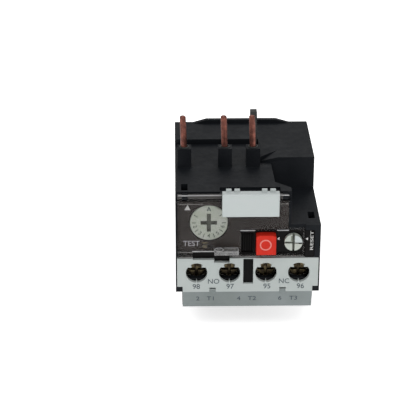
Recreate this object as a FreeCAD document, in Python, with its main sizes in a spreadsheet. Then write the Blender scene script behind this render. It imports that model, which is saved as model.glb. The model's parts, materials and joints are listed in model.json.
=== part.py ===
"""Three-pole thermal overload relay of the plug-in kind, 45 mm wide, as a parametric FreeCAD document.

The relay hangs under a contactor by its three copper line pins. +Z points up towards the contactor, -Y is the
front with the dial and the buttons, and X = 0 is the middle of the casing. Every piece is modelled with its
depth measured from the front plane of the casing (front = 0, growing to the rear) and its height from the
underside, and its Placement then carries it forward by front_set, so that the origin is the middle of the
underside of the whole relay.
"""

import FreeCAD
import Part

import math
import os
import re

import Sketcher

# ---------------------------------------------------------------- driving dimensions, in millimetres and degrees

SIZES = {
    # casing
    "body_width": 45.0,
    "roof_height": 49.0,
    "body_depth": 60.0,
    "side_wall": 1.8,
    "roof_wall": 1.8,
    "floor_wall": 1.8,
    "back_wall": 1.8,
    "seam_depth": 2.0,
    "brow_drop": 0.2,
    "ramp_front": 11.8,
    "deck_front": 23.3,
    "deck_back": 44.0,
    "deck_drop": 1.8,
    "deck_right": 5.0,
    "ledge_height": 38.1,
    "ledge_depth": 28.2,
    "block_right": 8.5,
    "brow_right": 13.3,
    "brow_depth": 4.6,
    "flare_run": 4.4,
    "wedge_reach": 5.8,
    "wedge_run": 6.0,
    "wedge_step": 0.5,
    "foot_height": 15.2,
    "base_half": 20.4,
    "base_front": 20.0,
    "hood_rise": 1.3,
    "hood_half": 16.2,
    "hood_flat": 11.8,
    "inside_gap": 0.1,
    # snap windows in the roof and the ledge
    "window_left": -20.7,
    "window_right": 19.0,
    "window_width": 2.0,
    "window_front": 2.9,
    "window_run": 4.8,
    "ledge_window_front": 5.0,
    # line pins, their sleeves and the contactor hook
    "pin_left": -19.5,
    "pin_middle": -6.5,
    "pin_right": 2.5,
    "pin_depth": 26.5,
    "pin_radius": 1.0,
    "pin_root": 1.15,
    "pin_rise": 10.6,
    "pin_tip": 0.45,
    "sleeve_width": 4.4,
    "sleeve_run": 4.0,
    "sleeve_rise": 6.3,
    "hook_offset": 0.5,
    "hook_front": 35.4,
    "hook_width": 2.2,
    "hook_run": 2.6,
    "hook_rise": 14.8,
    "hook_lip": 1.1,
    "hook_head": 2.4,
    # conductors between the pins, the heaters and the load terminals
    "strap_width": 2.4,
    "strap_thick": 1.0,
    "strap_drop": 1.2,
    "strap_back": 48.6,
    "pole_pitch": 13.0,
    "load_height": 5.6,
    "load_hole": 3.4,
    "load_head": 3.1,
    "load_head_gap": 0.4,
    "load_head_thick": 2.4,
    "load_shank": 1.6,
    "load_shank_run": 10.4,
    "load_clamp": 3.6,
    "load_clamp_thick": 1.2,
    "load_gap": 4.6,
    "load_plate_thick": 1.2,
    "load_plate_top": 10.4,
    "load_plate_half": 3.4,
    # auxiliary terminals
    "aux_inner": 5.7,
    "aux_outer": 16.0,
    "aux_height": 21.8,
    "aux_hole": 3.35,
    "aux_head": 2.85,
    "aux_head_front": 3.0,
    "aux_head_thick": 2.0,
    "aux_shank": 1.4,
    "aux_shank_run": 7.6,
    "aux_clamp": 3.2,
    "aux_clamp_thick": 0.9,
    "aux_gap": 3.4,
    "aux_plate_thick": 1.2,
    "aux_plate_top": 25.2,
    "aux_entry_half": 2.5,
    "aux_strap_half": 1.5,
    "aux_strap_thick": 1.0,
    "aux_inner_strap": 19.4,
    "aux_outer_strap": 23.4,
    # front cover, scale plate, clear cover and marker plate
    "panel_front": 0.6,
    "panel_thick": 1.8,
    "panel_low": 27.0,
    "panel_foot": 25.4,
    "pillar_left": 17.8,
    "scale_thick": 0.15,
    "scale_low": 29.4,
    "scale_high": 46.0,
    "scale_left": 21.9,
    "cover_front": -0.6,
    "cover_thick": 0.9,
    "cover_left": 21.9,
    "cover_right": 12.4,
    "cover_foot_right": 17.5,
    "cover_foot_high": 37.2,
    "cover_low": 27.3,
    "cover_notch": 29.2,
    "cover_gap": 0.25,
    "cutout_left": -2.2,
    "cutout_low": 28.3,
    "cutout_high": 36.5,
    "cutout_rail": 0.6,
    "hinge_radius": 0.5,
    "roll_radius": 1.0,
    "lug_width": 1.6,
    "lug_radius": 0.9,
    "lug_left": -20.4,
    "lug_right": 10.5,
    "seal_left": -10.6,
    "seal_right": -3.0,
    "seal_low": 29.6,
    "seal_thick": 1.2,
    "seal_reach": 3.0,
    "seal_hole": 1.05,
    "notch_left": -17.2,
    "notch_step": -10.5,
    "notch_right": -5.7,
    "notch_low": 25.4,
    "notch_shelf": 26.4,
    "marker_left": -8.2,
    "marker_right": 9.3,
    "marker_low": 42.3,
    "marker_high": 50.0,
    "marker_front": -3.0,
    "marker_wall": 0.9,
    "marker_pocket_gap": 0.6,
    "marker_pocket_run": 5.0,
    "marker_pocket_drop": 0.8,
    "clip_outer": 6.75,
    "clip_inner": 4.2,
    "clip_half": 0.85,
    "clip_rise": 0.9,
    "clip_run": 0.9,
    # current dial and its cam
    "dial_x": -12.2,
    "dial_height": 38.65,
    "dial_radius": 5.9,
    "dial_front": 0.9,
    "dial_thick": 2.0,
    "dial_gap": 0.25,
    "well_wall": 0.8,
    "well_floor": 1.2,
    "dial_slot_high": 3.0,
    "dial_slot_wide": 2.5,
    "dial_slot_half": 0.6,
    "dial_slot_deep": 0.9,
    "shaft_radius": 2.0,
    "journal_radius": 1.5,
    "cam_front": 6.3,
    "cam_thick": 2.2,
    "cam_radius": 4.2,
    "cam_lift": 0.75,
    "cam_turn": 135.0,
    "lever_x": -4.6,
    "lever_foot": 31.0,
    "lever_top": 43.0,
    "lever_thick": 1.4,
    "lever_hub": 1.8,
    "lever_front": 6.5,
    "lever_run": 1.8,
    "lever_pin": 0.8,
    # stop button, reset button and test slide
    "stop_left": 2.35,
    "stop_right": 8.7,
    "stop_low": 28.6,
    "stop_high": 35.0,
    "stop_arch": 0.5,
    "stop_front": -1.9,
    "stop_gap": 0.1,
    "stop_flange": 0.6,
    "stop_flange_thick": 1.0,
    "button_travel": 2.0,
    "stem_half": 0.8,
    "stem_end": 13.0,
    "boss_front": 8.0,
    "boss_wall": 1.0,
    "spring_wire": 0.5,
    "spring_radius": 2.0,
    "spring_link": 0.3,
    "spring_links": 3.0,
    "reset_x": 14.05,
    "reset_height": 32.3,
    "reset_radius": 2.8,
    "reset_front": -0.5,
    "reset_thick": 2.6,
    "reset_slot_half": 0.35,
    "reset_slot_deep": 0.9,
    "reset_tab_rise": 0.7,
    "reset_head": 2.25,
    "plunger_radius": 1.2,
    "collar_radius": 3.85,
    "collar_thick": 1.0,
    "window_recess_left": -2.0,
    "window_recess_right": 1.7,
    "window_recess_low": 28.6,
    "window_recess_high": 35.2,
    "window_recess_deep": 1.0,
    "flag_x": 9.8,
    "flag_height": 27.75,
    "flag_half": 2.3,
    "flag_tall": 0.5,
    "flag_front": 3.0,
    "flag_thick": 0.8,
    "flag_view": 0.7,
    "flag_view_tall": 0.4,
    "rail_thick": 0.6,
    "test_x": -13.4,
    "test_height": 30.6,
    "test_half": 0.6,
    "test_tab": 0.7,
    "test_travel": 1.5,
    "test_front": 3.4,
    "test_thick": 1.4,
    "test_left": -17.6,
    "test_right": -7.0,
    "test_spring_run": 4.0,
    "test_spring_radius": 0.9,
    # white terminal cover
    "plate_side_gap": 0.4,
    "plate_front": -0.2,
    "plate_thick": 1.4,
    "plate_low": 17.0,
    "plate_high": 26.9,
    "plate_gap": 0.05,
    "strip_half": 20.4,
    "strip_low": 8.7,
    "strip_slope": 2.4,
    "rib_slot_left": -1.4,
    "rib_slot_right": 1.7,
    "rib_slot_low": 18.0,
    "rib_slot_high": 26.6,
    "snap_slot_x": 11.0,
    "snap_slot_half": 1.0,
    "snap_slot_low": 16.0,
    "snap_slot_tall": 0.6,
    "ear_low": 1.9,
    "ear_notch": 1.5,
    "ear_root": 1.9,
    "ear_top": 3.0,
    "tooth_half": 0.35,
    "tooth_tall": 0.9,
    # mechanism base and the carrier of the heaters
    "base_shelf": 25.6,
    "base_top": 26.8,
    "chassis_front": 13.8,
    "chassis_thick": 1.6,
    "rib_half": 0.6,
    "rib_front": 2.6,
    "carrier_front": 31.8,
    "carrier_low": 11.6,
    "carrier_thick": 2.0,
    "bracket_half": 2.2,
    "beam_top": 35.3,
    "beam_tall": 3.0,
    "beam_run": 4.4,
    "partition_half": 0.8,
    "partition_front": 38.0,
    "carrier_back": 56.0,
    # bimetals, heaters and slides
    "strip_depth": 42.5,
    "bimetal_half": 2.5,
    "bimetal_thick": 0.9,
    "bimetal_top": 39.5,
    "root_sink": 1.2,
    "root_gap": 0.15,
    "coil_wire": 1.0,
    "coil_tall": 1.1,
    "coil_pitch": 2.2,
    "coil_turns": 8.0,
    "coil_low": 15.0,
    "slide_front": 32.0,
    "slide_run": 4.0,
    "slide_thick": 1.2,
    "slide_left": -18.0,
    "slide_right": 16.0,
    "slide_clear": 0.1,
    "finger_width": 1.6,
    "finger_gap": 0.06,
    "finger_back": 43.6,
    "trip_travel": 1.5,
    # rocker and contacts
    "rocker_height": 21.6,
    "rocker_front": 16.0,
    "rocker_back": 31.0,
    "rocker_hub": 1.9,
    "rocker_pin": 0.8,
    "rocker_arm": 0.8,
    "rocker_arm_back": 23.0,
    "rocker_top": 35.6,
    "strip_thick": 0.8,
    "strip_sink": 1.5,
    "strip_front": 27.4,
    "strip_top": 37.4,
    "nose_front": 28.6,
    "contact_height": 34.0,
    "contact_radius": 0.8,
    "contact_thick": 0.6,
    "contact_gap": 0.06,
    "contact_front": 17.4,
    "contact_back": 21.4,
    "open_gap": 1.8,
    "slot_half": 0.45,
    "slot_deep": 0.9,
    "slot_share": 0.7,
    "tongue_thick": 0.8,
    "aux_end_deep": 2.6,
    "chassis_high": 45.0,
    "post_half": 1.2,
    "follower_gap": 0.12,
    "follower_half": 0.8,
    "arch_run": 1.4,
    "test_bar": 0.5,
    # fits
    "run_gap": 0.05,
    "seat_gap": 0.02,
}

# ---------------------------------------------------------------- places worked out from the sizes

PLACES = {
    "front_set": "(body_depth + cover_front - seal_reach) / 2",
    "half_width": "body_width / 2",
    "inner_half": "body_width / 2 - side_wall",
    "base_inner": "base_half - side_wall",
    "base_fit": "base_half - side_wall - inside_gap",
    "fit_half": "body_width / 2 - side_wall - inside_gap",
    "brow_top": "roof_height - brow_drop",
    "brow_under": "roof_height - brow_drop - roof_wall",
    "deck_top": "roof_height - deck_drop",
    "deck_under": "deck_top - roof_wall",
    "roof_under": "roof_height - roof_wall",
    "ledge_under": "ledge_height - roof_wall",
    "back_seam": "body_depth - back_wall",
    "foot_top": "foot_height + floor_wall",
    "load_wall": "base_front + floor_wall",
    "block_inner": "block_right - side_wall",
    "sleeve_top": "deck_top + sleeve_rise",
    "pin_top": "sleeve_top + pin_rise",
    "hook_x": "pin_right + hook_offset",
    "strap_top": "deck_under - strap_drop",
    "strap_low": "strap_top - strap_thick",
    "cover_back": "cover_front + cover_thick",
    "roll_y": "cover_front + roll_radius",
    "roll_height": "brow_top - roll_radius - cover_gap",
    "roll_back": "roll_y + roll_radius + cover_gap",
    "roll_under": "roll_height - roll_radius - cover_gap",
    "panel_back": "panel_front + panel_thick",
    "scale_front": "panel_front - scale_thick",
    "well_radius": "dial_radius + dial_gap",
    "dial_back": "dial_front + dial_thick",
    "well_bottom": "dial_back + dial_gap",
    "well_back": "well_bottom + well_floor",
    "cam_back": "cam_front + cam_thick",
    "chassis_back": "chassis_front + chassis_thick",
    "carrier_top": "carrier_low + carrier_thick",
    "load_head_front": "load_wall + load_head_gap",
    "load_clamp_front": "load_head_front + load_head_thick",
    "load_clamp_back": "load_clamp_front + load_clamp_thick",
    "load_plate_front": "load_clamp_back + load_gap",
    "aux_clamp_front": "aux_head_front + aux_head_thick",
    "aux_clamp_back": "aux_clamp_front + aux_clamp_thick",
    "aux_plate_front": "aux_clamp_back + aux_gap",
    "aux_plate_back": "aux_plate_front + aux_plate_thick",
    "rib_middle": "(aux_inner + aux_outer) / 2",
    "stop_x": "(stop_left + stop_right) / 2",
    "stop_z": "(stop_low + stop_high) / 2",
    "flange_front": "panel_back + stop_gap",
    "flange_back": "flange_front + stop_flange_thick",
    "collar_front": "panel_back + stop_gap",
    "collar_back": "collar_front + collar_thick",
    "reset_floor": "reset_front + reset_slot_deep + rail_thick",
    "marker_x": "(marker_left + marker_right) / 2",
    "slide_low": "beam_top + slide_clear",
    "bimetal_low": "carrier_top - root_sink",
    "bimetal_face": "bimetal_thick / 2",
    "coil_x": "bimetal_thick / 2 + coil_wire",
    "coil_y": "bimetal_half + coil_wire",
    "closed_face": "rocker_arm + contact_thick + contact_gap",
    "open_face": "rocker_arm + contact_thick + open_gap",
    "plate_back": "plate_front + plate_thick",
    "flag_back": "flag_front + flag_thick",
    "test_back": "test_front + test_thick",
    "coil_high": "coil_low + coil_pitch * (coil_turns - 1) + coil_tall + finger_gap",
    "hook_top": "deck_top + hook_rise",
    "reset_low": "reset_height - reset_radius",
    "strip_root": "rocker_height + strip_sink",
}

POLES = {1: "-pole_pitch", 2: "0", 3: "pole_pitch"}
PINS = {1: "pin_left", 2: "pin_middle", 3: "pin_right"}
AUX = {98: "-aux_outer", 97: "-aux_inner", 95: "aux_inner", 96: "aux_outer"}
EXPORT_FOLDER = "parts"

doc = FreeCAD.newDocument("overload_relay")
sheet = doc.addObject("Spreadsheet::Sheet", "Sizes")
pieces = []


def fill_sheet():
    """Writes every driving dimension into the spreadsheet, each under its own alias."""
    for row, (name, value) in enumerate(SIZES.items(), 1):
        sheet.set(f"A{row}", name)
        sheet.set(f"B{row}", str(value))
        sheet.setAlias(f"B{row}", name)
    doc.recompute()


def bind(text):
    """Turns the names of sizes and places in an expression into references to the spreadsheet's cells."""

    def swap(found):
        name = found.group()
        if name in PLACES:
            return "(" + bind(PLACES[name]) + ")"
        return "Sizes." + name if name in SIZES else name

    return re.sub(r"[a-z_]+[a-z0-9_]*", swap, str(text))


def number(text):
    """The value that an expression has now."""
    value = sheet.evalExpression(bind(text))
    return float(getattr(value, "Value", value))


# ---------------------------------------------------------------- outlines for sketches


def box(left, low, right, high):
    """A rectangle from its lower left corner to its upper right one."""
    return [(left, low), (right, low), (right, high), (left, high)]


def stepped(lower_half, upper_half, low, step, high):
    """A rectangle about the middle that is narrower below its step."""
    right = [(lower_half, low), (lower_half, step), (upper_half, step), (upper_half, high)]
    return right + [(f"-({half})", height) for half, height in reversed(right)]


def centred(u, v, half_u, half_v=None):
    """A rectangle about a centre, from its half width and half height."""
    tall = half_u if half_v is None else half_v
    return box(f"{u} - ({half_u})", f"{v} - ({tall})", f"{u} + ({half_u})", f"{v} + ({tall})")


def ring(u, v, radius):
    """A circle."""
    return {"centre": (u, v), "radius": radius}


# ---------------------------------------------------------------- bodies, pads and pockets

PLANE_ROLES = {"XY": "XY_Plane", "XZ": "XZ_Plane", "YZ": "YZ_Plane"}
SKETCH_ORIGIN = -1
CENTRE_POINT = 3


class Piece:
    """One sub-part as a PartDesign body. Each feature runs from at to at + length along its plane's axis."""

    def __init__(self, label):
        self.body = doc.addObject("PartDesign::Body", label)
        self.body.Label = label
        self.body.AllowCompound = True
        self.body.setExpression("Placement.Base.y", bind("-front_set"))
        pieces.append(self.body)

    def origin(self, role):
        """One of the body's own origin planes or axes."""
        return next(f for f in self.body.Origin.OriginFeatures if f.Role == role)

    def sketch(self, plane, at, outlines):
        """A sketch on one of the body's own planes, carried out to at, with every corner bound to the sheet."""
        drawing = self.body.newObject("Sketcher::SketchObject", f"{self.body.Label}_sketch")
        drawing.AttachmentSupport = [(self.origin(PLANE_ROLES[plane]), "")]
        drawing.MapMode = "FlatFace"
        side = "-1 * " if plane == "XZ" else ""
        drawing.setExpression("AttachmentOffset.Base.z", side + "(" + bind(at) + ")")
        rules = []
        for outline in outlines:
            draw = self.draw_circle if isinstance(outline, dict) else self.draw_loop
            rules += draw(drawing, outline)
        drawing.addConstraint([rule for rule, _ in rules])
        for index, (_, text) in enumerate(rules):
            if text is not None:
                drawing.setExpression(f"Constraints[{index}]", text)
        return drawing

    @staticmethod
    def hold_point(line, end, point):
        """The two rules that hold a point of the sketch at its distances from the sketch's origin."""
        kinds = zip(("DistanceX", "DistanceY"), point)
        return [
            (Sketcher.Constraint(kind, SKETCH_ORIGIN, 1, line, end, number(value)), bind(value))
            for kind, value in kinds
        ]

    def draw_circle(self, drawing, outline):
        """A circle held by its centre and its radius."""
        u, v = outline["centre"]
        radius = number(outline["radius"])
        centre = FreeCAD.Vector(number(u), number(v), 0)
        line = drawing.addGeometry(Part.Circle(centre, FreeCAD.Vector(0, 0, 1), radius))
        size = (Sketcher.Constraint("Radius", line, radius), bind(outline["radius"]))
        return self.hold_point(line, CENTRE_POINT, (u, v)) + [size]

    def draw_loop(self, drawing, points):
        """A closed run of straight lines through the points."""
        corners = [FreeCAD.Vector(number(u), number(v), 0) for u, v in points]
        count = len(corners)
        lines = [Part.LineSegment(corners[i], corners[(i + 1) % count]) for i in range(count)]
        first = drawing.addGeometry(lines)[0]
        rules = []
        for i, point in enumerate(points):
            joined = Sketcher.Constraint("Coincident", first + i, 2, first + (i + 1) % count, 1)
            rules.append((joined, None))
            rules += self.hold_point(first + i, 1, point)
        return rules

    def pad(self, plane, at, length, *outlines):
        """Adds material over the outlines."""
        feature = self.body.newObject("PartDesign::Pad", f"{self.body.Label}_pad")
        feature.Profile = self.sketch(plane, at, outlines)
        feature.setExpression("Length", bind(length))
        feature.Reversed = plane == "XZ"
        feature.Refine = False
        return self

    def turn(self, place, profile):
        """Turns a profile about the upright axis at place. The profile gives radius and height."""
        x, y = place
        drawing = self.sketch("XZ", y, [profile])
        drawing.setExpression("AttachmentOffset.Base.x", bind(x))
        feature = self.body.newObject("PartDesign::Revolution", f"{self.body.Label}_turning")
        feature.Profile = drawing
        feature.ReferenceAxis = (drawing, ["V_Axis"])
        feature.Angle = 360
        feature.Refine = False
        return self

    def pocket(self, plane, at, length, *outlines):
        """Cuts the outlines away."""
        feature = self.body.newObject("PartDesign::Pocket", f"{self.body.Label}_pocket")
        feature.Profile = self.sketch(plane, at, outlines)
        feature.setExpression("Length", bind(length))
        feature.Reversed = plane != "XZ"
        feature.Refine = False
        return self

    def repeat(self, axis, spacing, count):
        """Repeats the last feature along one of the body's own axes."""
        pattern = self.body.newObject("PartDesign::LinearPattern", f"{self.body.Label}_pattern")
        pattern.Originals = [self.body.Tip]
        pattern.Direction = (self.origin(axis), [""])
        pattern.Mode = "Spacing"
        pattern.setExpression("Offset", bind(spacing))
        pattern.setExpression("Occurrences", bind(count))
        self.body.Tip = pattern
        return self


# ---------------------------------------------------------------- casing


def main_housing():
    """The black casing: a tall left block, a lower front ledge on the right and the foot with the load terminals."""
    case = Piece("main_housing")
    left = [
        ("0", "foot_height"), ("0", "brow_top"), ("ramp_front", "brow_top"), ("deck_front", "deck_top"),
        ("deck_back", "deck_top"), ("deck_back", "roof_height"), ("back_seam", "roof_height"),
        ("back_seam", "0"), ("base_front", "0"), ("base_front", "foot_height"),
    ]
    right = [
        ("0", "foot_height"), ("0", "ledge_height"), ("ledge_depth", "ledge_height"),
        ("ledge_depth", "roof_height"), ("back_seam", "roof_height"), ("back_seam", "0"),
        ("base_front", "0"), ("base_front", "foot_height"),
    ]
    case.pad("YZ", "-half_width", "half_width + block_right", left)
    case.pad("YZ", "block_right", "half_width - block_right", right)
    flare = [
        ("block_right", "0"), ("brow_right", "0"), ("brow_right", "brow_depth"),
        ("block_right", "brow_depth + flare_run"),
    ]
    case.pad("XY", "ledge_height", "brow_top - ledge_height", flare)
    roof_corner(case)
    sides = [box(f"{side} * half_width", "0", f"{side} * base_half", "back_seam") for side in ("-1", "1")]
    case.pocket("XY", "0", "foot_height", *sides)
    case_cavities(case)
    for x in PINS.values():
        case.pad("XY", "deck_top", "sleeve_rise", centred(x, "pin_depth", "sleeve_width / 2", "sleeve_run / 2"))
    sockets = [centred(x, "pin_depth", "pin_root + seat_gap") for x in PINS.values()]
    case.pocket("XY", "deck_under", "sleeve_top - deck_under", *sockets)
    case_windows(case)
    case_terminal_openings(case)
    case_front_recess(case)


def roof_corner(case):
    """Carries the rear roof over to the third pole's sleeve, with the sloping facet at its front corner."""
    case.pad("XY", "deck_top", "deck_drop", box("deck_right", "ledge_depth", "block_right", "back_seam"))
    facet = [
        ("deck_right", "deck_top + wedge_step"), ("deck_right + wedge_reach", "roof_height"),
        ("deck_right", "roof_height"),
    ]
    case.pocket("XZ", "ledge_depth", "wedge_run", facet)
    behind = [
        ("deck_right", "ledge_depth + wedge_step"), ("deck_right + wedge_reach", "ledge_depth + wedge_run"),
        ("deck_right", "ledge_depth + wedge_run"),
    ]
    case.pad("XY", "deck_top", "deck_drop", behind)


def case_cavities(case):
    """Hollows the casing to its walls. The front and the rear stay open for the two covers."""
    left = [
        ("0", "foot_top"), ("0", "brow_under"), ("ramp_front", "brow_under"), ("deck_front", "deck_under"),
        ("back_seam", "deck_under"), ("back_seam", "foot_top"),
    ]
    right = [
        ("0", "foot_top"), ("0", "ledge_under"), ("ledge_depth + side_wall", "ledge_under"),
        ("ledge_depth + side_wall", "deck_under"), ("back_seam", "deck_under"), ("back_seam", "foot_top"),
    ]
    case.pocket("YZ", "-inner_half", "inner_half + block_inner", left)
    case.pocket("YZ", "block_inner", "inner_half - block_inner", right)
    base = box("-base_inner", "load_wall", "base_inner", "back_seam")
    case.pocket("XY", "floor_wall", "foot_top - floor_wall", base)
    rear = box("-inner_half", "deck_back + roof_wall", "inner_half", "back_seam")
    case.pocket("XY", "deck_under", "roof_under - deck_under", rear)


def case_windows(case):
    """The square snap windows in the roof and the ledge, and the socket of the contactor hook."""
    roof = box("window_left", "window_front", "window_left + window_width", "window_front + window_run")
    case.pocket("XY", "brow_under", "roof_wall", roof)
    ledge_back = "ledge_window_front + window_run"
    ledge = box("window_right", "ledge_window_front", "window_right + window_width", ledge_back)
    case.pocket("XY", "ledge_under", "roof_wall", ledge)
    peg = box(
        "hook_x - hook_width / 2 - seat_gap", "hook_front - seat_gap",
        "hook_x + hook_width / 2 + seat_gap", "hook_front + hook_run + seat_gap",
    )
    case.pocket("XY", "deck_under", "roof_wall", peg)


def case_terminal_openings(case):
    """Screwdriver holes and wire entries of the load terminals, and the wire entries of the auxiliary ones."""
    drivers = [ring(x, "load_height", "load_hole") for x in POLES.values()]
    case.pocket("XZ", "base_front", "floor_wall", *drivers)
    load_entries = [
        box(f"{x} - load_plate_half", "load_clamp_back", f"{x} + load_plate_half", "load_plate_front")
        for x in POLES.values()
    ]
    case.pocket("XY", "0", "floor_wall", *load_entries)
    aux_entries = [
        box(f"{x} - aux_entry_half", "aux_clamp_front", f"{x} + aux_entry_half", "aux_plate_front")
        for x in AUX.values()
    ]
    case.pocket("XY", "foot_height", "floor_wall", *aux_entries)


def case_front_recess(case):
    """Sets the front edges back for the clear cover, its hinge, the marker plate and the terminal cover."""
    left = "-(cover_left + cover_gap)"
    lower_right = "cover_foot_right + cover_gap"
    recess = [
        (left, "panel_low"), (lower_right, "panel_low"), (lower_right, "ledge_height"),
        ("brow_right", "ledge_height"), ("brow_right", "brow_top"), (left, "brow_top"),
    ]
    case.pocket("XZ", "0", "panel_front", recess)
    case.pocket("XZ", "0", "roll_back", box("-half_width", "roll_under", "brow_right", "brow_top"))
    marker = box(
        "marker_left - marker_pocket_gap", "0", "marker_right + marker_pocket_gap", "marker_pocket_run"
    )
    case.pocket("XY", "brow_top - marker_pocket_drop", "marker_pocket_drop", marker)
    plate_side = "half_width - plate_side_gap + plate_gap"
    plate = box(f"-({plate_side})", "plate_low - plate_gap", plate_side, "panel_low")
    case.pocket("XZ", "0", "plate_back", plate)
    strip = box("-(strip_half + plate_gap)", "foot_height", "strip_half + plate_gap", "plate_low")
    case.pocket("XZ", "0", "plate_back + plate_gap", strip)
    stop = box(
        "stop_left", "ledge_under - inside_gap", "stop_right + stop_flange + stop_gap", "stop_high + stop_arch"
    )
    case.pocket("XZ", "0", "flange_back + button_travel + stop_gap", stop)
    for x in ("lug_left", "lug_right"):
        arm = box("roll_y", "roll_height - lug_radius", "roll_back", "roll_height + lug_radius")
        case.pad("YZ", x, "lug_width", ring("roll_y", "roll_height", "lug_radius"))
        case.pad("YZ", x, "lug_width", arm)
        case.pocket("YZ", x, "lug_width", ring("roll_y", "roll_height", "hinge_radius + seat_gap"))


def back_cover():
    """The rear plate, with a rim that plugs into the casing and a raised hood along its top edge."""
    cover = Piece("back_cover")
    plate = stepped("base_half", "half_width", "0", "foot_height", "roof_height")
    cover.pad("XZ", "back_seam", "back_wall", plate)
    hood = [
        ("-hood_half", "roof_height"), ("hood_half", "roof_height"),
        ("hood_flat", "roof_height + hood_rise"), ("-hood_flat", "roof_height + hood_rise"),
    ]
    cover.pad("XZ", "back_seam", "back_wall", hood)
    low, step, top = "floor_wall + inside_gap", "foot_top + inside_gap", "roof_under - inside_gap"
    rim = stepped("base_fit", "fit_half", low, step, top)
    cover.pad("XZ", "back_seam - seam_depth", "seam_depth", rim)
    walls = ("base_fit - back_wall", "fit_half - back_wall")
    inside = stepped(*walls, f"{low} + back_wall", f"{step} + back_wall", f"{top} - back_wall")
    cover.pocket("XZ", "back_seam - seam_depth", "seam_depth", inside)


def front_cover():
    """The black front panel: dial well, button openings, finger notch and the guides of the test slide."""
    panel = Piece("front_cover")
    outline = [
        ("-fit_half", "panel_low"), ("fit_half", "panel_low"), ("fit_half", "ledge_under - inside_gap"),
        ("block_inner - inside_gap", "ledge_under - inside_gap"),
        ("block_inner - inside_gap", "roll_under"), ("-fit_half", "roll_under"),
    ]
    panel.pad("XZ", "panel_front", "panel_thick", outline)
    pillar = box("pillar_left", "panel_low", "fit_half", "ledge_under - inside_gap")
    panel.pad("XZ", "0", "panel_front", pillar)
    skirt = box("-fit_half", "panel_foot", "fit_half", "panel_low")
    panel.pad("XZ", "plate_back", "panel_back - plate_back", skirt)
    well = ring("dial_x", "dial_height", "well_radius + well_wall")
    panel.pad("XZ", "panel_front", "well_back - panel_front", well)
    for rail in ("test_height + test_half", "test_height - test_half - rail_thick"):
        bar = box("test_left", rail, "test_right - rail_thick", f"{rail} + rail_thick")
        panel.pad("XZ", "panel_back", "test_back - panel_back", bar)
    post_left = "test_right + test_spring_run"
    post = box(post_left, "test_height - post_half", f"{post_left} + rail_thick", "test_height + post_half")
    panel.pad("XZ", "panel_back", "test_back - panel_back", post)
    flag_rail = box(
        "flag_x - flag_half - trip_travel", "panel_low", "flag_x + flag_half", "flag_height - flag_tall - run_gap"
    )
    panel.pad("XZ", "panel_back", "flag_back - panel_back", flag_rail)
    front_cover_openings(panel)


def front_cover_openings(panel):
    """Cuts the dial well, the button openings, the blank window, the flag window and the finger notch."""
    panel.pocket("XZ", "panel_front", "well_bottom - panel_front", ring("dial_x", "dial_height", "well_radius"))
    shaft = ring("dial_x", "dial_height", "shaft_radius + run_gap")
    panel.pocket("XZ", "well_bottom", "well_floor", shaft)
    stop = box("stop_left", "stop_low", "stop_right", "stop_high + stop_arch")
    reset = ring("reset_x", "reset_height", "reset_radius + stop_gap")
    flag = centred("flag_x", "flag_height", "flag_view", "flag_view_tall")
    slot = box(
        "test_x - test_tab - stop_gap", "test_height - test_half",
        "test_x + test_tab + test_travel + stop_gap", "test_height + test_half",
    )
    panel.pocket("XZ", "panel_front", "panel_thick", stop, reset, flag, slot)
    window = box("window_recess_left", "window_recess_low", "window_recess_right", "window_recess_high")
    panel.pocket("XZ", "panel_front", "window_recess_deep", window)
    notch = box("notch_left", "panel_low", "notch_right", "scale_low - rail_thick")
    panel.pocket("XZ", "panel_front", "plate_back - panel_front", notch)
    block = box("rib_slot_left", "panel_foot", "rib_slot_right", "rib_slot_high")
    panel.pocket("XZ", "plate_back", "panel_back - plate_back", block)


def scale_plate():
    """The thin printed plate behind the clear cover, open round the dial and the test slide."""
    plate = Piece("scale_plate")
    outline = [
        ("-scale_left", "scale_low"), ("cutout_left - inside_gap", "scale_low"),
        ("cutout_left - inside_gap", "cutout_high + inside_gap"),
        ("cover_right", "cutout_high + inside_gap"), ("cover_right", "scale_high"), ("-scale_left", "scale_high"),
    ]
    plate.pad("XZ", "scale_front", "scale_thick", outline)
    slot = box(
        "test_x - test_tab - stop_gap", "test_height - test_half",
        "test_x + test_tab + test_travel + stop_gap", "test_height + test_half",
    )
    plate.pocket("XZ", "scale_front", "scale_thick", ring("dial_x", "dial_height", "well_radius"), slot)


def terminal_cover():
    """The white cover over the auxiliary terminals, with the leaning strip that marks the load terminals."""
    cover = Piece("terminal_cover")
    side = "half_width - plate_side_gap"
    cover.pad("XZ", "plate_front", "plate_thick", box(f"-({side})", "plate_low", side, "plate_high"))
    strip = [
        ("plate_front", "plate_low"), ("plate_front", "foot_height"), ("plate_front + strip_slope", "strip_low"),
        ("plate_back + strip_slope", "strip_low"), ("plate_back", "foot_height"), ("plate_back", "plate_low"),
    ]
    cover.pad("YZ", "-strip_half", "2 * strip_half", strip)
    holes = [ring(x, "aux_height", "aux_hole") for x in AUX.values()]
    slot = box("rib_slot_left", "rib_slot_low", "rib_slot_right", "rib_slot_high")
    cover.pocket("XZ", "plate_front", "plate_thick", *holes, slot)
    ears = [ear(x, side) for x in AUX.values() for side in ("-", "+")]
    teeth = [tooth(x) for x in AUX.values()]
    cover.pad("XZ", "plate_front", "plate_thick", *ears, *teeth)
    snaps = [
        box(f"{x} - snap_slot_half", "snap_slot_low", f"{x} + snap_slot_half", "snap_slot_low + snap_slot_tall")
        for x in ("-snap_slot_x", "snap_slot_x")
    ]
    cover.pocket("XZ", "plate_front", "plate_thick", *snaps)
    shelf = box("notch_step", "notch_low", "notch_right", "plate_high")
    step = box("notch_left", "notch_shelf", "notch_step", "plate_high")
    cover.pocket("XZ", "plate_front", "plate_thick", shelf, step)


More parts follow.
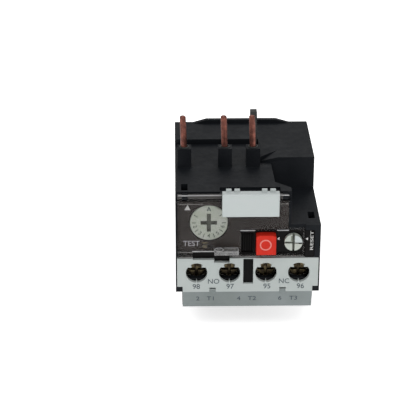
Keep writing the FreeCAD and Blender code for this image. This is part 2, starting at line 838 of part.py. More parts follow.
def ear(x, side):
    """One of the two wedges that stand into a screw hole on either side of its top."""
    outer, inner, root = (f"{x} {side} {reach}" for reach in ("aux_hole", "ear_notch", "ear_root"))
    under, top = "aux_height + ear_low", "aux_height + ear_top"
    return [(outer, under), (inner, under), (root, top), (outer, top)]


def tooth(x):
    """The small pointer at the bottom of a screw hole."""
    return [
        (f"{x} - tooth_half", "aux_height - aux_hole - tooth_half"),
        (f"{x} + tooth_half", "aux_height - aux_hole - tooth_half"),
        (x, "aux_height - aux_hole + tooth_tall"),
    ]


# ---------------------------------------------------------------- clear cover and marker plate


def clear_cover():
    """The hinged clear cover over the scale, with its rolled hinge, seal lug and frame round the buttons."""
    cover = Piece("clear_cover")
    top = "roll_height - lug_radius - cover_gap"
    outline = [
        ("-cover_left", "cover_low"), ("cover_foot_right", "cover_low"), ("cover_foot_right", "cover_foot_high"),
        ("cover_right", "cover_foot_high"), ("cover_right", top), ("-cover_left", top),
    ]
    cover.pad("XZ", "cover_front", "cover_thick", outline)
    window = box("cutout_left", "cutout_low", "cover_foot_right - cutout_rail", "cutout_high")
    cover.pocket("XZ", "cover_front", "cover_thick", window)
    notch = box("notch_left", "cover_low", "notch_right", "cover_notch")
    cover.pocket("XZ", "cover_front", "cover_thick", notch)
    between = [
        ("-cover_left", "lug_left - inside_gap"), ("lug_left + lug_width + inside_gap", "lug_right - inside_gap"),
    ]
    for left, right in between:
        knuckle(cover, left, right, top)
    lug = box("seal_left", "cover_front - seal_reach", "seal_right", "cover_front")
    cover.pad("XY", "seal_low", "seal_thick", lug)
    eye = "seal_left + seal_reach / 2"
    cover.pocket("XY", "seal_low", "seal_thick", ring(eye, "cover_front - seal_reach / 2", "seal_hole"))


def knuckle(cover, left, right, top):
    """A length of the cover's roll from left to right, with the web that joins it to the sheet."""
    run = f"({right}) - ({left})"
    cover.pad("YZ", left, run, box("cover_front", top, "cover_back", "roll_height"))
    cover.pad("YZ", left, run, ring("roll_y", "roll_height", "roll_radius"))
    cover.pocket("YZ", left, run, ring("roll_y", "roll_height", "hinge_radius + run_gap"))


def cover_pin():
    """The hinge pin of the clear cover, held in the casing's two lugs."""
    pin = Piece("cover_pin")
    right = "lug_right + lug_width"
    pin.pad("YZ", "-cover_left", f"{right} + cover_left", ring("roll_y", "roll_height", "hinge_radius"))


def marker_plate():
    """The blank white marker plate, a hood clipped over the top of the clear cover."""
    plate = Piece("marker_plate")
    depth = [
        ("marker_front", "marker_low"), ("cover_front", "marker_low"), ("cover_front", "marker_high"),
        ("marker_front", "marker_high"),
    ]
    plate.pad("YZ", "marker_left", "marker_right - marker_left", depth)
    hollow = [
        ("marker_front + marker_wall", "marker_low"), ("cover_front", "marker_low"),
        ("cover_front", "marker_high - marker_wall"), ("marker_front + marker_wall", "marker_high - marker_wall"),
    ]
    plate.pocket("YZ", "marker_left + marker_wall", "marker_right - marker_left - 2 * marker_wall", hollow)
    clips = [
        box(f"marker_x + ({side}) * {at} - clip_half", "cover_front - clip_run",
            f"marker_x + ({side}) * {at} + clip_half", "cover_front")
        for side in (-1, 1) for at in ("clip_outer", "clip_inner")
    ]
    plate.pad("XY", "marker_high", "clip_rise", *clips)


# ---------------------------------------------------------------- current setting: dial, cam and lever


def current_dial():
    """The setting dial with its screwdriver cross."""
    dial = Piece("current_dial")
    dial.pad("XZ", "dial_front", "dial_thick", ring("dial_x", "dial_height", "dial_radius"))
    upright = centred("dial_x", "dial_height", "dial_slot_half", "dial_slot_high")
    level = centred("dial_x", "dial_height", "dial_slot_wide", "dial_slot_half")
    dial.pocket("XZ", "dial_front", "dial_slot_deep", upright)
    dial.pocket("XZ", "dial_front", "dial_slot_deep", level)


def adjusting_cam():
    """The shaft behind the dial, with a spiral cam whose edge lifts steadily with the angle, and a rear journal."""
    cam = Piece("adjusting_cam")
    cam.pad("XZ", "dial_back", "cam_front - dial_back", ring("dial_x", "dial_height", "shaft_radius"))
    cam.pad("XZ", "cam_front", "cam_thick", spiral())
    cam.pad("XZ", "cam_back", "chassis_back - cam_back", ring("dial_x", "dial_height", "journal_radius"))


def spiral(step=15, reach=165):
    """The cam's edge: its radius grows with the angle from the middle by cam_lift over each cam_turn degrees."""
    points = []
    for angle in range(-reach, reach + 1, step):
        radius = f"(cam_radius + cam_lift * {angle} / cam_turn)"
        cosine, sine = math.cos(math.radians(angle)), math.sin(math.radians(angle))
        points.append((f"dial_x + {radius} * {cosine:.6f}", f"dial_height + {radius} * {sine:.6f}"))
    return points


def cam_lever():
    """The lever that the cam tips to set the tripping current."""
    lever = Piece("cam_lever")
    arm = box("lever_x - lever_thick / 2", "lever_foot", "lever_x + lever_thick / 2", "lever_top")
    lever.pad("XZ", "lever_front", "lever_run", arm)
    follower = box(
        "dial_x + cam_radius + follower_gap", "dial_height - follower_half",
        "lever_x", "dial_height + follower_half",
    )
    lever.pad("XZ", "lever_front", "lever_run", follower)
    lever.pad("XZ", "lever_front", "chassis_front - run_gap - lever_front", ring("lever_x", "lever_foot", "lever_hub"))
    bore = ring("lever_x", "lever_foot", "lever_pin + run_gap")
    lever.pocket("XZ", "lever_front", "chassis_front - lever_front", bore)


def lever_pin():
    """The pin that the cam lever turns on."""
    pin = Piece("lever_pin")
    pin.pad("XZ", "lever_front", "chassis_back - lever_front", ring("lever_x", "lever_foot", "lever_pin"))


# ---------------------------------------------------------------- stop, reset and test


def stop_button():
    """The red stop button, arched at its top, with a flange behind the panel and a square stem."""
    button = Piece("stop_button")
    face = [
        ("stop_left + stop_gap", "stop_low + stop_gap"), ("stop_right - stop_gap", "stop_low + stop_gap"),
        ("stop_right - stop_gap", "stop_high"), ("stop_right - arch_run", "stop_high + stop_arch - stop_gap"),
        ("stop_left + arch_run", "stop_high + stop_arch - stop_gap"), ("stop_left + stop_gap", "stop_high"),
    ]
    button.pad("XZ", "stop_front", "flange_front - stop_front", face)
    flange = box(
        "stop_left - stop_flange", "stop_low + stop_gap", "stop_right + stop_flange",
        "stop_high + stop_arch - stop_gap",
    )
    button.pad("XZ", "flange_front", "stop_flange_thick", flange)
    button.pad("XZ", "flange_back", "stem_end - flange_back", centred("stop_x", "stop_z", "stem_half"))


SPRING_AXES = {"XZ": "Y_Axis", "YZ": "X_Axis"}


def coil_spring(label, plane, centre, start, run, radius):
    """A compression spring drawn as flat turns, each joined to the next on alternate sides."""
    u, v = centre
    spring = Piece(label)
    pitch = f"(({run}) - spring_wire) / spring_links"
    outer, inner = f"{radius} + spring_wire / 2", f"{radius} - spring_wire / 2"
    spring.pad(plane, start, "spring_wire", ring(u, v, outer), ring(u, v, inner))
    spring.repeat(SPRING_AXES[plane], pitch, "spring_links + 1")
    for first in range(int(number("spring_links"))):
        side = "-" if first % 2 else "+"
        link = centred(u, f"{v} {side} {radius}", "spring_link / 2")
        spring.pad(plane, f"{start} + {first} * {pitch} + spring_wire / 2", pitch, link)


def stop_spring():
    """The stop button's return spring, round its stem."""
    run = "boss_front - flange_back"
    coil_spring("stop_spring", "XZ", ("stop_x", "stop_z"), "flange_back", run, "spring_radius")


def reset_plunger():
    """The plunger: a round head inside the reset dial, a collar behind the panel and a stem through the base."""
    plunger = Piece("reset_plunger")
    head = ring("reset_x", "reset_height", "reset_head")
    plunger.pad("XZ", "reset_floor", "collar_front - (reset_floor)", head)
    plunger.pad("XZ", "collar_front", "collar_thick", ring("reset_x", "reset_height", "collar_radius"))
    stem = ring("reset_x", "reset_height", "plunger_radius")
    plunger.pad("XZ", "collar_back", "stem_end - collar_back", stem)


def reset_dial():
    """The white reset dial, a cap that turns on the plunger's head, with its cross slot and its raised quarter."""
    dial = Piece("reset_dial")
    dial.pad("XZ", "reset_front", "reset_thick", ring("reset_x", "reset_height", "reset_radius"))
    hub = ring("reset_x", "reset_height", "reset_head + run_gap")
    dial.pocket("XZ", "reset_floor", "reset_front + reset_thick - (reset_floor)", hub)
    raised = ring("reset_x", "reset_height", "reset_radius")
    dial.pad("XZ", "reset_front - reset_tab_rise", "reset_tab_rise", raised)
    low = box("reset_x - reset_radius", "reset_low", "reset_x + reset_radius", "reset_height + reset_slot_half")
    dial.pocket("XZ", "reset_front - reset_tab_rise", "reset_tab_rise", low)
    left = box("reset_x - reset_radius", "reset_height", "reset_x + reset_slot_half", "reset_height + reset_radius")
    dial.pocket("XZ", "reset_front - reset_tab_rise", "reset_tab_rise", left)
    for half_wide, half_tall in (("reset_slot_half", "reset_radius"), ("reset_radius", "reset_slot_half")):
        dial.pocket("XZ", "reset_front", "reset_slot_deep", centred("reset_x", "reset_height", half_wide, half_tall))


def reset_spring():
    """The reset plunger's return spring, round its stem."""
    run = "boss_front - collar_back"
    coil_spring("reset_spring", "XZ", ("reset_x", "reset_height"), "collar_back", run, "spring_radius")


def test_slide():
    """The test slide behind the front panel, with the small tab that shows in the scale plate."""
    slide = Piece("test_slide")
    bar = box("test_left", "test_height - test_bar", "test_right", "test_height + test_bar")
    slide.pad("XZ", "test_front", "test_thick", bar)
    tab = centred("test_x", "test_height", "test_tab", "test_bar")
    slide.pad("XZ", "panel_front", "test_front - panel_front", tab)


def test_spring():
    """The test slide's return spring."""
    centre = ("test_front + test_thick / 2", "test_height")
    coil_spring("test_spring", "YZ", centre, "test_right", "test_spring_run", "test_spring_radius")


# ---------------------------------------------------------------- mechanism base and auxiliary terminals


def mechanism_base():
    """The inner moulding: terminal partitions, the wall behind them and the bosses for every shaft and stem."""
    base = Piece("mechanism_base")
    low = box("-fit_half", "foot_top", "fit_half", "ledge_under - inside_gap")
    high = box("-fit_half", "foot_top", "block_inner - inside_gap", "chassis_high")
    base.pad("XZ", "chassis_front", "chassis_thick", low)
    base.pad("XZ", "chassis_front", "chassis_thick", high)
    wall = box("-fit_half", "foot_top", "fit_half", "base_top")
    base.pad("XZ", "aux_plate_back", "chassis_front - aux_plate_back", wall)
    for x in ("-rib_middle", "0", "rib_middle"):
        fin = box(f"{x} - rib_half", "foot_top", f"{x} + rib_half", "base_shelf")
        base.pad("XZ", "rib_front", "aux_plate_back - rib_front", fin)
    shelf = box("-fit_half", "base_shelf", "fit_half", "base_top")
    base.pad("XZ", "rib_front", "aux_plate_back - rib_front", shelf)
    block = box(
        "rib_slot_left + inside_gap", "rib_slot_low + inside_gap",
        "rib_slot_right - inside_gap", "rib_slot_high - inside_gap",
    )
    base.pad("XZ", "panel_front", "rib_front - panel_front + rib_half", block)
    mechanism_base_bosses(base)


def mechanism_base_bosses(base):
    """The bosses and bores for the stems, the cam's journal, the pivot pins, the straps and the screw ends."""
    run = "chassis_front - boss_front"
    base.pad("XZ", "boss_front", run, centred("stop_x", "stop_z", "stem_half + run_gap + boss_wall"))
    base.pad("XZ", "boss_front", run, ring("reset_x", "reset_height", "plunger_radius + run_gap + boss_wall"))
    whole = "chassis_back - boss_front"
    stem = centred("stop_x", "stop_z", "stem_half + run_gap")
    plunger = ring("reset_x", "reset_height", "plunger_radius + run_gap")
    journal = ring("dial_x", "dial_height", "journal_radius + run_gap")
    lever = ring("lever_x", "lever_foot", "lever_pin + seat_gap")
    rocker = ring("0", "rocker_height", "rocker_pin + seat_gap")
    base.pocket("XZ", "boss_front", whole, stem, plunger)
    base.pocket("XZ", "chassis_front", "chassis_thick", journal, lever)
    base.pocket("XZ", "aux_plate_back", "chassis_back - aux_plate_back", rocker)
    slots = [
        box(f"{x} - aux_strap_half", height, f"{x} + aux_strap_half", f"{height} + aux_strap_thick")
        for x, height in AUX_STRAPS.values()
    ]
    base.pocket("XZ", "aux_plate_back", "chassis_back - aux_plate_back", *slots)
    ends = [ring(x, "aux_height", "aux_shank + run_gap") for x in AUX.values()]
    base.pocket("XZ", "aux_plate_back", "aux_end_deep", *ends)


AUX_STRAPS = {
    98: ("-aux_outer", "aux_outer_strap"),
    97: ("-aux_inner", "aux_inner_strap"),
    95: ("aux_inner", "aux_inner_strap"),
    96: ("aux_outer", "aux_outer_strap"),
}


def aux_terminal(mark):
    """One auxiliary terminal: its clamping plate, its strap through the base and its contact tongue."""
    x, height = AUX_STRAPS[mark]
    outer = mark in (96, 98)
    side = "-1" if mark in (97, 98) else "1"
    reach = "open_face" if mark in (97, 98) else "closed_face"
    near = "contact_front" if outer else "contact_back"
    piece = Piece(f"aux_terminal_{mark}")
    plate = box(f"{x} - aux_clamp", "foot_top", f"{x} + aux_clamp", "aux_plate_top")
    piece.pad("XZ", "aux_plate_front", "aux_plate_thick", plate)
    strap_end = f"{near} + contact_radius"
    strap = box(f"{x} - aux_strap_half", height, f"{x} + aux_strap_half", f"{height} + aux_strap_thick")
    piece.pad("XZ", "aux_plate_back", f"{strap_end} - aux_plate_back", strap)
    face = f"{side} * ({reach} + contact_thick)"
    back = f"{side} * ({reach} + contact_thick + tongue_thick)"
    left, right = (back, face) if side == "-1" else (face, back)
    cross = [
        (left, f"{near} - contact_radius"), (x, f"{near} - contact_radius"),
        (x, f"{near} + contact_radius"), (left, f"{near} + contact_radius"),
    ]
    piece.pad("XY", height, "aux_strap_thick", cross)
    tongue = box(left, f"{near} - contact_radius", right, f"{near} + contact_radius")
    piece.pad("XY", height, f"contact_height + contact_radius - ({height})", tongue)
    button = f"{side} * {reach}" if side == "1" else f"{side} * ({reach} + contact_thick)"
    piece.pad("YZ", button, "contact_thick", ring(near, "contact_height", "contact_radius"))
    piece.pocket("XZ", "aux_plate_front", "aux_plate_thick", ring(x, "aux_height", "aux_shank + run_gap"))


def screws(label, places, height, front, sizes):
    """A row of cheese-head terminal screws with crossed slots."""
    head, thick, shank, run = sizes
    row = Piece(label)
    row.pad("XZ", front, thick, *[ring(x, height, head) for x in places])
    row.pad("XZ", f"{front} + {thick}", run, *[ring(x, height, shank) for x in places])
    reach = f"{head} * slot_share"
    for half_u, half_v in ((reach, "slot_half"), ("slot_half", reach)):
        row.pocket("XZ", front, "slot_deep", *[centred(x, height, half_u, half_v) for x in places])


def clamps(label, places, height, front, sizes):
    """A row of square clamping washers under the terminal screws."""
    half, thick, shank = sizes
    row = Piece(label)
    row.pad("XZ", front, thick, *[centred(x, height, half) for x in places])
    row.pocket("XZ", front, thick, *[ring(x, height, f"{shank} + run_gap") for x in places])


def terminal_hardware():
    """Screws and clamping washers of the auxiliary and load terminals."""
    screws(
        "aux_screws", AUX.values(), "aux_height", "aux_head_front",
        ("aux_head", "aux_head_thick", "aux_shank", "aux_shank_run"),
    )
    clamps("aux_clamps", AUX.values(), "aux_height", "aux_clamp_front", ("aux_clamp", "aux_clamp_thick", "aux_shank"))
    screws(
        "load_screws", POLES.values(), "load_height", "load_head_front",
        ("load_head", "load_head_thick", "load_shank", "load_shank_run"),
    )
    clamps(
        "load_clamps", POLES.values(), "load_height", "load_clamp_front",
        ("load_clamp", "load_clamp_thick", "load_shank"),
    )


# ---------------------------------------------------------------- power path


def line_pin(pole):
    """One copper line pin: a square root in its sleeve, standing on its strap, and the round free pin above."""
    pin = Piece(f"line_pin_{pole}")
    x = PINS[pole]
    pin.pad("XY", "strap_top", "sleeve_top - strap_top", centred(x, "pin_depth", "pin_root"))
    pin.turn((x, "pin_depth"), [
        ("0", "sleeve_top"), ("pin_radius", "sleeve_top"), ("pin_radius", "pin_top - pin_tip"),
        ("pin_radius - pin_tip", "pin_top"), ("0", "pin_top"),
    ])


def line_strap(pole):
    """The copper strap from one line pin back to the heater of its pole."""
    x, heater = PINS[pole], POLES[pole]
    strap = Piece(f"line_strap_{pole}")
    left, right = f"{x} - strap_width / 2", f"{x} + strap_width / 2"
    strap.pad("XY", "strap_low", "strap_thick", box(left, "pin_depth - strap_width / 2", right, "strap_back"))
    across = box(left, "strap_back - strap_width", f"{heater} + strap_width / 2", "strap_back")
    strap.pad("XY", "strap_low", "strap_thick", across)
    drop = centred(heater, "strap_back - strap_thick / 2", "strap_width / 2", "strap_thick / 2")
    strap.pad("XY", "coil_high", "strap_low - (coil_high)", drop)


def contactor_hook():
    """The dark moulded hook behind the third pin, which catches on the contactor."""
    hook = Piece("contactor_hook")
    left, right = "hook_x - hook_width / 2", "hook_x + hook_width / 2"
    side = [
        ("hook_front", "deck_under"), ("hook_front", "hook_top - hook_head"),
        ("hook_front - hook_lip", "hook_top - hook_head"), ("hook_front - hook_lip", "hook_top - hook_lip"),
        ("hook_front", "hook_top"), ("hook_front + hook_run", "hook_top"), ("hook_front + hook_run", "deck_under"),
    ]
    hook.pad("YZ", left, "hook_width", side)
    heel = box(f"{left} - hook_lip", "hook_front - hook_lip", f"{right} + hook_lip", "hook_front + hook_run + hook_lip")
    hook.pad("XY", "deck_under - hook_lip", "hook_lip", heel)


def load_terminal(pole):
    """One load terminal: the plate behind its clamp and the tongue that rises to the bimetal's root."""
    x = POLES[pole]
    piece = Piece(f"load_terminal_{pole}")
    plate = box(f"{x} - load_plate_half", "floor_wall", f"{x} + load_plate_half", "load_plate_top")
    piece.pad("XZ", "load_plate_front", "load_plate_thick", plate)
    strap = box(f"{x} - bimetal_half", "load_plate_front", f"{x} + bimetal_half", "strip_depth + bimetal_half")
    piece.pad("XY", "load_plate_top", "carrier_low - load_plate_top", strap)
    piece.pocket("XZ", "load_plate_front", "load_plate_thick", ring(x, "load_height", "load_shank + run_gap"))


def pole_carrier():
    """The moulded carrier of the three heaters, with a chamber for each and a beam that the trip slide runs on."""
    carrier = Piece("pole_carrier")
    floor = box("-base_fit", "carrier_front", "base_fit", "carrier_back")
    carrier.pad("XY", "carrier_low", "carrier_thick", floor)
    walls = ("-(base_fit - partition_half)", "-pole_pitch / 2", "pole_pitch / 2", "base_fit - partition_half")
    sides = [
        box(f"{x} - partition_half", "carrier_front", f"{x} + partition_half", "carrier_back") for x in walls
    ]
    carrier.pad("XY", "carrier_top", "beam_top - beam_tall - carrier_top", *sides)
    fins = [
        box(f"{x} - partition_half", "partition_front", f"{x} + partition_half", "carrier_back") for x in walls
    ]
    carrier.pad("XY", "beam_top - beam_tall", "beam_tall - slide_clear", *fins)
    beam = box("-fit_half", "carrier_front", "fit_half", "carrier_front + beam_run")
    carrier.pad("XY", "beam_top - beam_tall", "beam_tall", beam)
    slots = [
        centred(x, "strip_depth", "bimetal_face + root_gap", "bimetal_half + root_gap") for x in POLES.values()
    ]
    carrier.pocket("XY", "carrier_low", "carrier_thick", *slots)
    bracket = box("-bracket_half", "carrier_top", "bracket_half", "rocker_height + bracket_half")
    carrier.pad("XZ", "carrier_front", "carrier_thick", bracket)
    carrier.pocket("XZ", "carrier_front", "carrier_thick", ring("0", "rocker_height", "rocker_pin + seat_gap"))


def bimetal_strip(pole):
    """One bimetal strip, standing in its slot in the carrier."""
    x = POLES[pole]
    strip = Piece(f"bimetal_strip_{pole}")
    flat = centred(x, "strip_depth", "bimetal_face", "bimetal_half")
    strip.pad("XY", "bimetal_low", "bimetal_top - (bimetal_low)", flat)


def heater_winding(pole):
    """The heater wound round one bimetal strip, drawn as square turns joined down one side."""
    x = POLES[pole]
    winding = Piece(f"heater_winding_{pole}")
    outer = centred(x, "strip_depth", "coil_x", "coil_y")
    inner = centred(x, "strip_depth", "bimetal_face", "bimetal_half")
    winding.pad("XY", "coil_low", "coil_tall", outer, inner)
    winding.repeat("Z_Axis", "coil_pitch", "coil_turns")
    joint = box(
        f"{x} - coil_x", "strip_depth + bimetal_half", f"{x} + coil_x", "strip_depth + coil_y"
    )
    winding.pad("XY", "coil_low", "coil_pitch * (coil_turns - 1) + coil_tall", joint)


# ---------------------------------------------------------------- tripping mechanism


def trip_slide():
    """The slide that the three bimetals push, with a finger beside each strip and a nose at the rocker."""
    slide = Piece("trip_slide")
    bar = box("slide_left", "slide_front", "slide_right", "slide_front + slide_run")
    slide.pad("XY", "slide_low", "slide_thick", bar)
    fingers = [
        box(f"{x} - bimetal_face - finger_gap - finger_width", "slide_front + slide_run",
            f"{x} - bimetal_face - finger_gap", "finger_back")
        for x in POLES.values()
    ]
    slide.pad("XY", "slide_low", "slide_thick", *fingers)
    nose = box(
        "strip_thick / 2 + finger_gap", "nose_front", "strip_thick / 2 + finger_gap + finger_width", "slide_front"
    )
    slide.pad("XY", "slide_low", "slide_thick", nose)


def compensating_strip():
    """The second bimetal, which makes up for the warmth of the room and stands on the rocker's shaft."""
    strip = Piece("compensating_strip")
    flat = box("-strip_thick / 2", "strip_root", "strip_thick / 2", "strip_top")
    strip.pad("XZ", "strip_front", "rocker_back - strip_front", flat)


def trip_rocker():
    """The rocker: a shaft on its pivot pin with the contact arm that stands between the fixed contacts."""
    rocker = Piece("trip_rocker")
    rocker.pad("XZ", "rocker_front", "rocker_back - rocker_front", ring("0", "rocker_height", "rocker_hub"))
    arm = box("-rocker_arm", "rocker_height", "rocker_arm", "rocker_top")
    rocker.pad("XZ", "rocker_front", "rocker_arm_back - rocker_front", arm)
    bore = ring("0", "rocker_height", "rocker_pin + run_gap")
    rocker.pocket("XZ", "rocker_front", "rocker_back - rocker_front", bore)
    slot = box("-strip_thick / 2", "strip_root", "strip_thick / 2", "rocker_top")
    rocker.pocket("XZ", "strip_front", "rocker_back - strip_front", slot)


def rocker_pin():
    """The pivot pin of the rocker, from the mechanism base to the pole carrier's bracket."""
    pin = Piece("rocker_pin")
    run = "carrier_front + carrier_thick - aux_plate_back"
    pin.pad("XZ", "aux_plate_back", run, ring("0", "rocker_height", "rocker_pin"))


def contact_bridge(name, side):
    """A contact bridge on one side of the rocker's arm, with a contact at the front and one at the rear."""
    bridge = Piece(f"contact_bridge_{name}")
    start = "rocker_arm" if side > 0 else "-rocker_arm - contact_thick / 2"
    tip = "rocker_arm + contact_thick / 2" if side > 0 else "-rocker_arm - contact_thick"
    bar = box(
        "contact_front - contact_radius", "contact_height - contact_radius",
        "contact_back + contact_radius", "contact_height + contact_radius",
    )
    bridge.pad("YZ", start, "contact_thick / 2", bar)
    buttons = [ring(y, "contact_height", "contact_radius") for y in ("contact_front", "contact_back")]
    bridge.pad("YZ", tip, "contact_thick / 2", *buttons)


def trip_flag():
    """The small flag that slides behind its window when the relay trips."""
    flag = Piece("trip_flag")
    plate = box(
        "flag_x - flag_half", "flag_height - flag_tall", "flag_x + flag_half", "flag_height + flag_tall"
    )
    flag.pad("XZ", "flag_front", "flag_thick", plate)


# ---------------------------------------------------------------- building and writing


def build():
    """Draws every piece."""
    fill_sheet()
    for draw in (
        main_housing, back_cover, front_cover, scale_plate, terminal_cover, clear_cover, cover_pin, marker_plate,
        current_dial, adjusting_cam, cam_lever, lever_pin, stop_button, stop_spring, reset_plunger, reset_dial,
        reset_spring, test_slide, test_spring, mechanism_base, terminal_hardware, contactor_hook, pole_carrier,
        trip_slide, compensating_strip, trip_rocker, rocker_pin, trip_flag,
    ):
        draw()
    for mark in AUX:
        aux_terminal(mark)
    for pole in POLES:
        line_pin(pole)
        line_strap(pole)
        load_terminal(pole)
        bimetal_strip(pole)
        heater_winding(pole)
    contact_bridge("nc", 1)
    contact_bridge("no", -1)
    doc.recompute()


def check():
    """Stops if any object of the document failed, or any piece has no sound solid."""
    for item in doc.Objects:
        if {"Invalid", "Error"} & set(item.State):
            raise RuntimeError(f"{item.Label} failed: {item.State}")
    for body in pieces:
        if body.Shape.isNull() or not body.Shape.isValid() or not body.Shape.Solids:
            raise RuntimeError(f"{body.Label} has no sound solid")


def export():
    """Writes each piece to a STEP file that is named after it."""
    os.makedirs(EXPORT_FOLDER, exist_ok=True)
    for body in pieces:
        body.Shape.exportStep(os.path.join(EXPORT_FOLDER, f"{body.Label}.step"))


build()
check()
export()
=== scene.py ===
"""Looks of a plug-in thermal overload relay: every visible piece shaped and finished, in soft studio light.

Lengths in the class fields are millimetres, apart from the studio's, which are metres. Heights run up from
the underside, and the depth of a piece is measured from the middle of the relay, with the front towards -Y.
"""

import json
import logging
import math
from dataclasses import dataclass
from enum import Enum
from typing import Callable, Sequence

import bmesh
import bpy
import numpy as np
from mathutils import Matrix, Vector


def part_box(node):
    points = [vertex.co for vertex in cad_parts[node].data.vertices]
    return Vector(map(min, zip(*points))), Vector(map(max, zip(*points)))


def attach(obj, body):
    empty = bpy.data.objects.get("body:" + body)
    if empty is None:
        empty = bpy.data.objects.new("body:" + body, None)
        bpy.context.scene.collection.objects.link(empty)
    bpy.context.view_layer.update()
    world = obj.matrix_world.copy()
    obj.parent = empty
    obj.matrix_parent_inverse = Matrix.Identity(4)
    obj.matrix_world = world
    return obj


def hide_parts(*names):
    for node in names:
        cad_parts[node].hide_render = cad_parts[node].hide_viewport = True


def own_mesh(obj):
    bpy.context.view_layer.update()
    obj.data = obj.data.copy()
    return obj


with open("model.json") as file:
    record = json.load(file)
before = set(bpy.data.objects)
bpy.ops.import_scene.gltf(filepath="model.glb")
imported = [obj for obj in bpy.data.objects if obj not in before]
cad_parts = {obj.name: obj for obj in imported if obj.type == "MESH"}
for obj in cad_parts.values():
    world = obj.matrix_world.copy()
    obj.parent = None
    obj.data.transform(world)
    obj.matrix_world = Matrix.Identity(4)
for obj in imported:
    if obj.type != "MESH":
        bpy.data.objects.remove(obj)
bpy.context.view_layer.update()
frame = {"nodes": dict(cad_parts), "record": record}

MM = 0.001
POLES = (1, 2, 3)
LOG = logging.getLogger("relay")

# Which sockets of the mix node serve a mix of two colours.
MIX_AMOUNT, MIX_FIRST, MIX_SECOND, MIX_RESULT = 0, 6, 7, 2

Colour = tuple[float, float, float]
Point = tuple[float, float, float]
Pair = tuple[float, float]
Outline = tuple[Pair, ...]
Mesh = tuple[np.ndarray, list]
Chooser = Callable[[np.ndarray], np.ndarray]
Socket = bpy.types.NodeSocket


# ---------------------------------------------------------------- shader helpers


class Shader:
    """A node material under construction, with its Principled shader and object coordinates ready."""

    def __init__(self, name: str) -> None:
        """Start an empty material.

        Args:
            name: the material's name.
        """
        self.material = bpy.data.materials.new(name)
        self.material.use_nodes = True
        self.tree = self.material.node_tree
        self.skin = next(n for n in self.tree.nodes if n.type == "BSDF_PRINCIPLED")
        self.coords = self.tree.nodes.new("ShaderNodeTexCoord").outputs["Object"]

    def node(self, kind: str, inputs: dict[str, object], **fields: object) -> bpy.types.Node:
        """Add a node.

        Args:
            kind: the node's type name.
            inputs: values or output sockets for its inputs, by name.
            fields: values for the node's own settings.

        Returns:
            The new node.
        """
        made = self.tree.nodes.new(kind)
        for field, value in fields.items():
            setattr(made, field, value)
        for key, value in inputs.items():
            self.give(made.inputs[key], value)
        return made

    def give(self, socket: Socket, value: object) -> None:
        """Give an input a value or another node's output.

        Args:
            socket: the input.
            value: a constant, or a socket to link.
        """
        if isinstance(value, Socket):
            self.tree.links.new(value, socket)
        else:
            socket.default_value = value

    def feed(self, name: str, value: object) -> None:
        """Give the Principled shader's named input a constant or another node's output."""
        self.give(self.skin.inputs[name], value)

    def noise(self, size_mm: float, detail: float = 3.0, source: Socket | None = None) -> Socket:
        """Soft noise whose blotches are about size_mm across.

        Args:
            size_mm: width of one blotch.
            detail: how many finer layers are added.
            source: coordinates to read, the object's own when left out.

        Returns:
            The noise value's socket.
        """
        vector = self.coords if source is None else source
        wanted = {"Vector": vector, "Scale": 1 / (size_mm * MM), "Detail": detail, "Roughness": 0.6}
        return self.node("ShaderNodeTexNoise", wanted).outputs["Fac"]

    def between(
        self, value: Socket, low: float, high: float, to_low: float = 0.0, to_high: float = 1.0
    ) -> Socket:
        """Stretch a value from one range to another, held at its ends.

        Args:
            value: the socket to stretch.
            low: start of the range read.
            high: end of the range read.
            to_low: what low becomes.
            to_high: what high becomes.

        Returns:
            The stretched value's socket.
        """
        wanted = {"Value": value, "From Min": low, "From Max": high, "To Min": to_low, "To Max": to_high}
        return self.node("ShaderNodeMapRange", wanted, clamp=True).outputs["Result"]

    def blend(self, amount: Socket, first: Colour, second: Colour) -> Socket:
        """Mix two colours by an amount.

        Args:
            amount: 0 for the first colour, 1 for the second.
            first: linear red, green and blue.
            second: linear red, green and blue.

        Returns:
            The mixed colour's socket.
        """
        mix = self.node("ShaderNodeMix", {}, data_type="RGBA")
        self.give(mix.inputs[MIX_AMOUNT], amount)
        self.give(mix.inputs[MIX_FIRST], (*first, 1))
        self.give(mix.inputs[MIX_SECOND], (*second, 1))
        return mix.outputs[MIX_RESULT]

    def bump(self, height: Socket, depth_mm: float, strength: float) -> None:
        """Raise the surface by a height value.

        Args:
            height: the value, 0 to 1.
            depth_mm: how deep a full step of the value is.
            strength: how much of it shows.
        """
        wanted = {"Height": height, "Distance": depth_mm * MM, "Strength": strength}
        self.feed("Normal", self.node("ShaderNodeBump", wanted).outputs["Normal"])


# ---------------------------------------------------------------- finishes


class Surface:
    """One kind of surface. Each subclass holds its tones and its slot, and paints its own nodes."""

    def paint(self, shader: Shader) -> None:
        """Feed a shader with this surface."""
        raise NotImplementedError

    def make(self, name: str) -> bpy.types.Material:
        """Build the material.

        Args:
            name: the material's name.

        Returns:
            The finished material.
        """
        shader = Shader(name)
        self.paint(shader)
        return shader.material


@dataclass(frozen=True)
class Plastic(Surface):
    """Moulded plastic: slow colour drift, fine moulded grain and handling marks in the gloss."""

    slot: str
    colour: Colour
    drift: Colour
    roughness: float
    gloss: float
    grain_mm: float = 0.22
    grain_depth_mm: float = 0.012
    sheen_mm: float = 9.0
    rub_mm: float = 2.4

    def paint(self, shader: Shader) -> None:
        """Feed a shader with drifting colour, rubbed gloss and grain.

        Args:
            shader: the material under construction.
        """
        cloud = shader.between(shader.noise(self.sheen_mm, 4), 0.35, 0.68)
        shader.feed("Base Color", shader.blend(cloud, self.colour, self.drift))
        rub = shader.noise(self.rub_mm, 6)
        smooth, rough = self.roughness - 0.07, self.roughness + 0.08
        shader.feed("Roughness", shader.between(rub, 0.3, 0.7, smooth, rough))
        shader.feed("Specular IOR Level", self.gloss)
        shader.bump(shader.noise(self.grain_mm, 2), self.grain_depth_mm, 0.6)


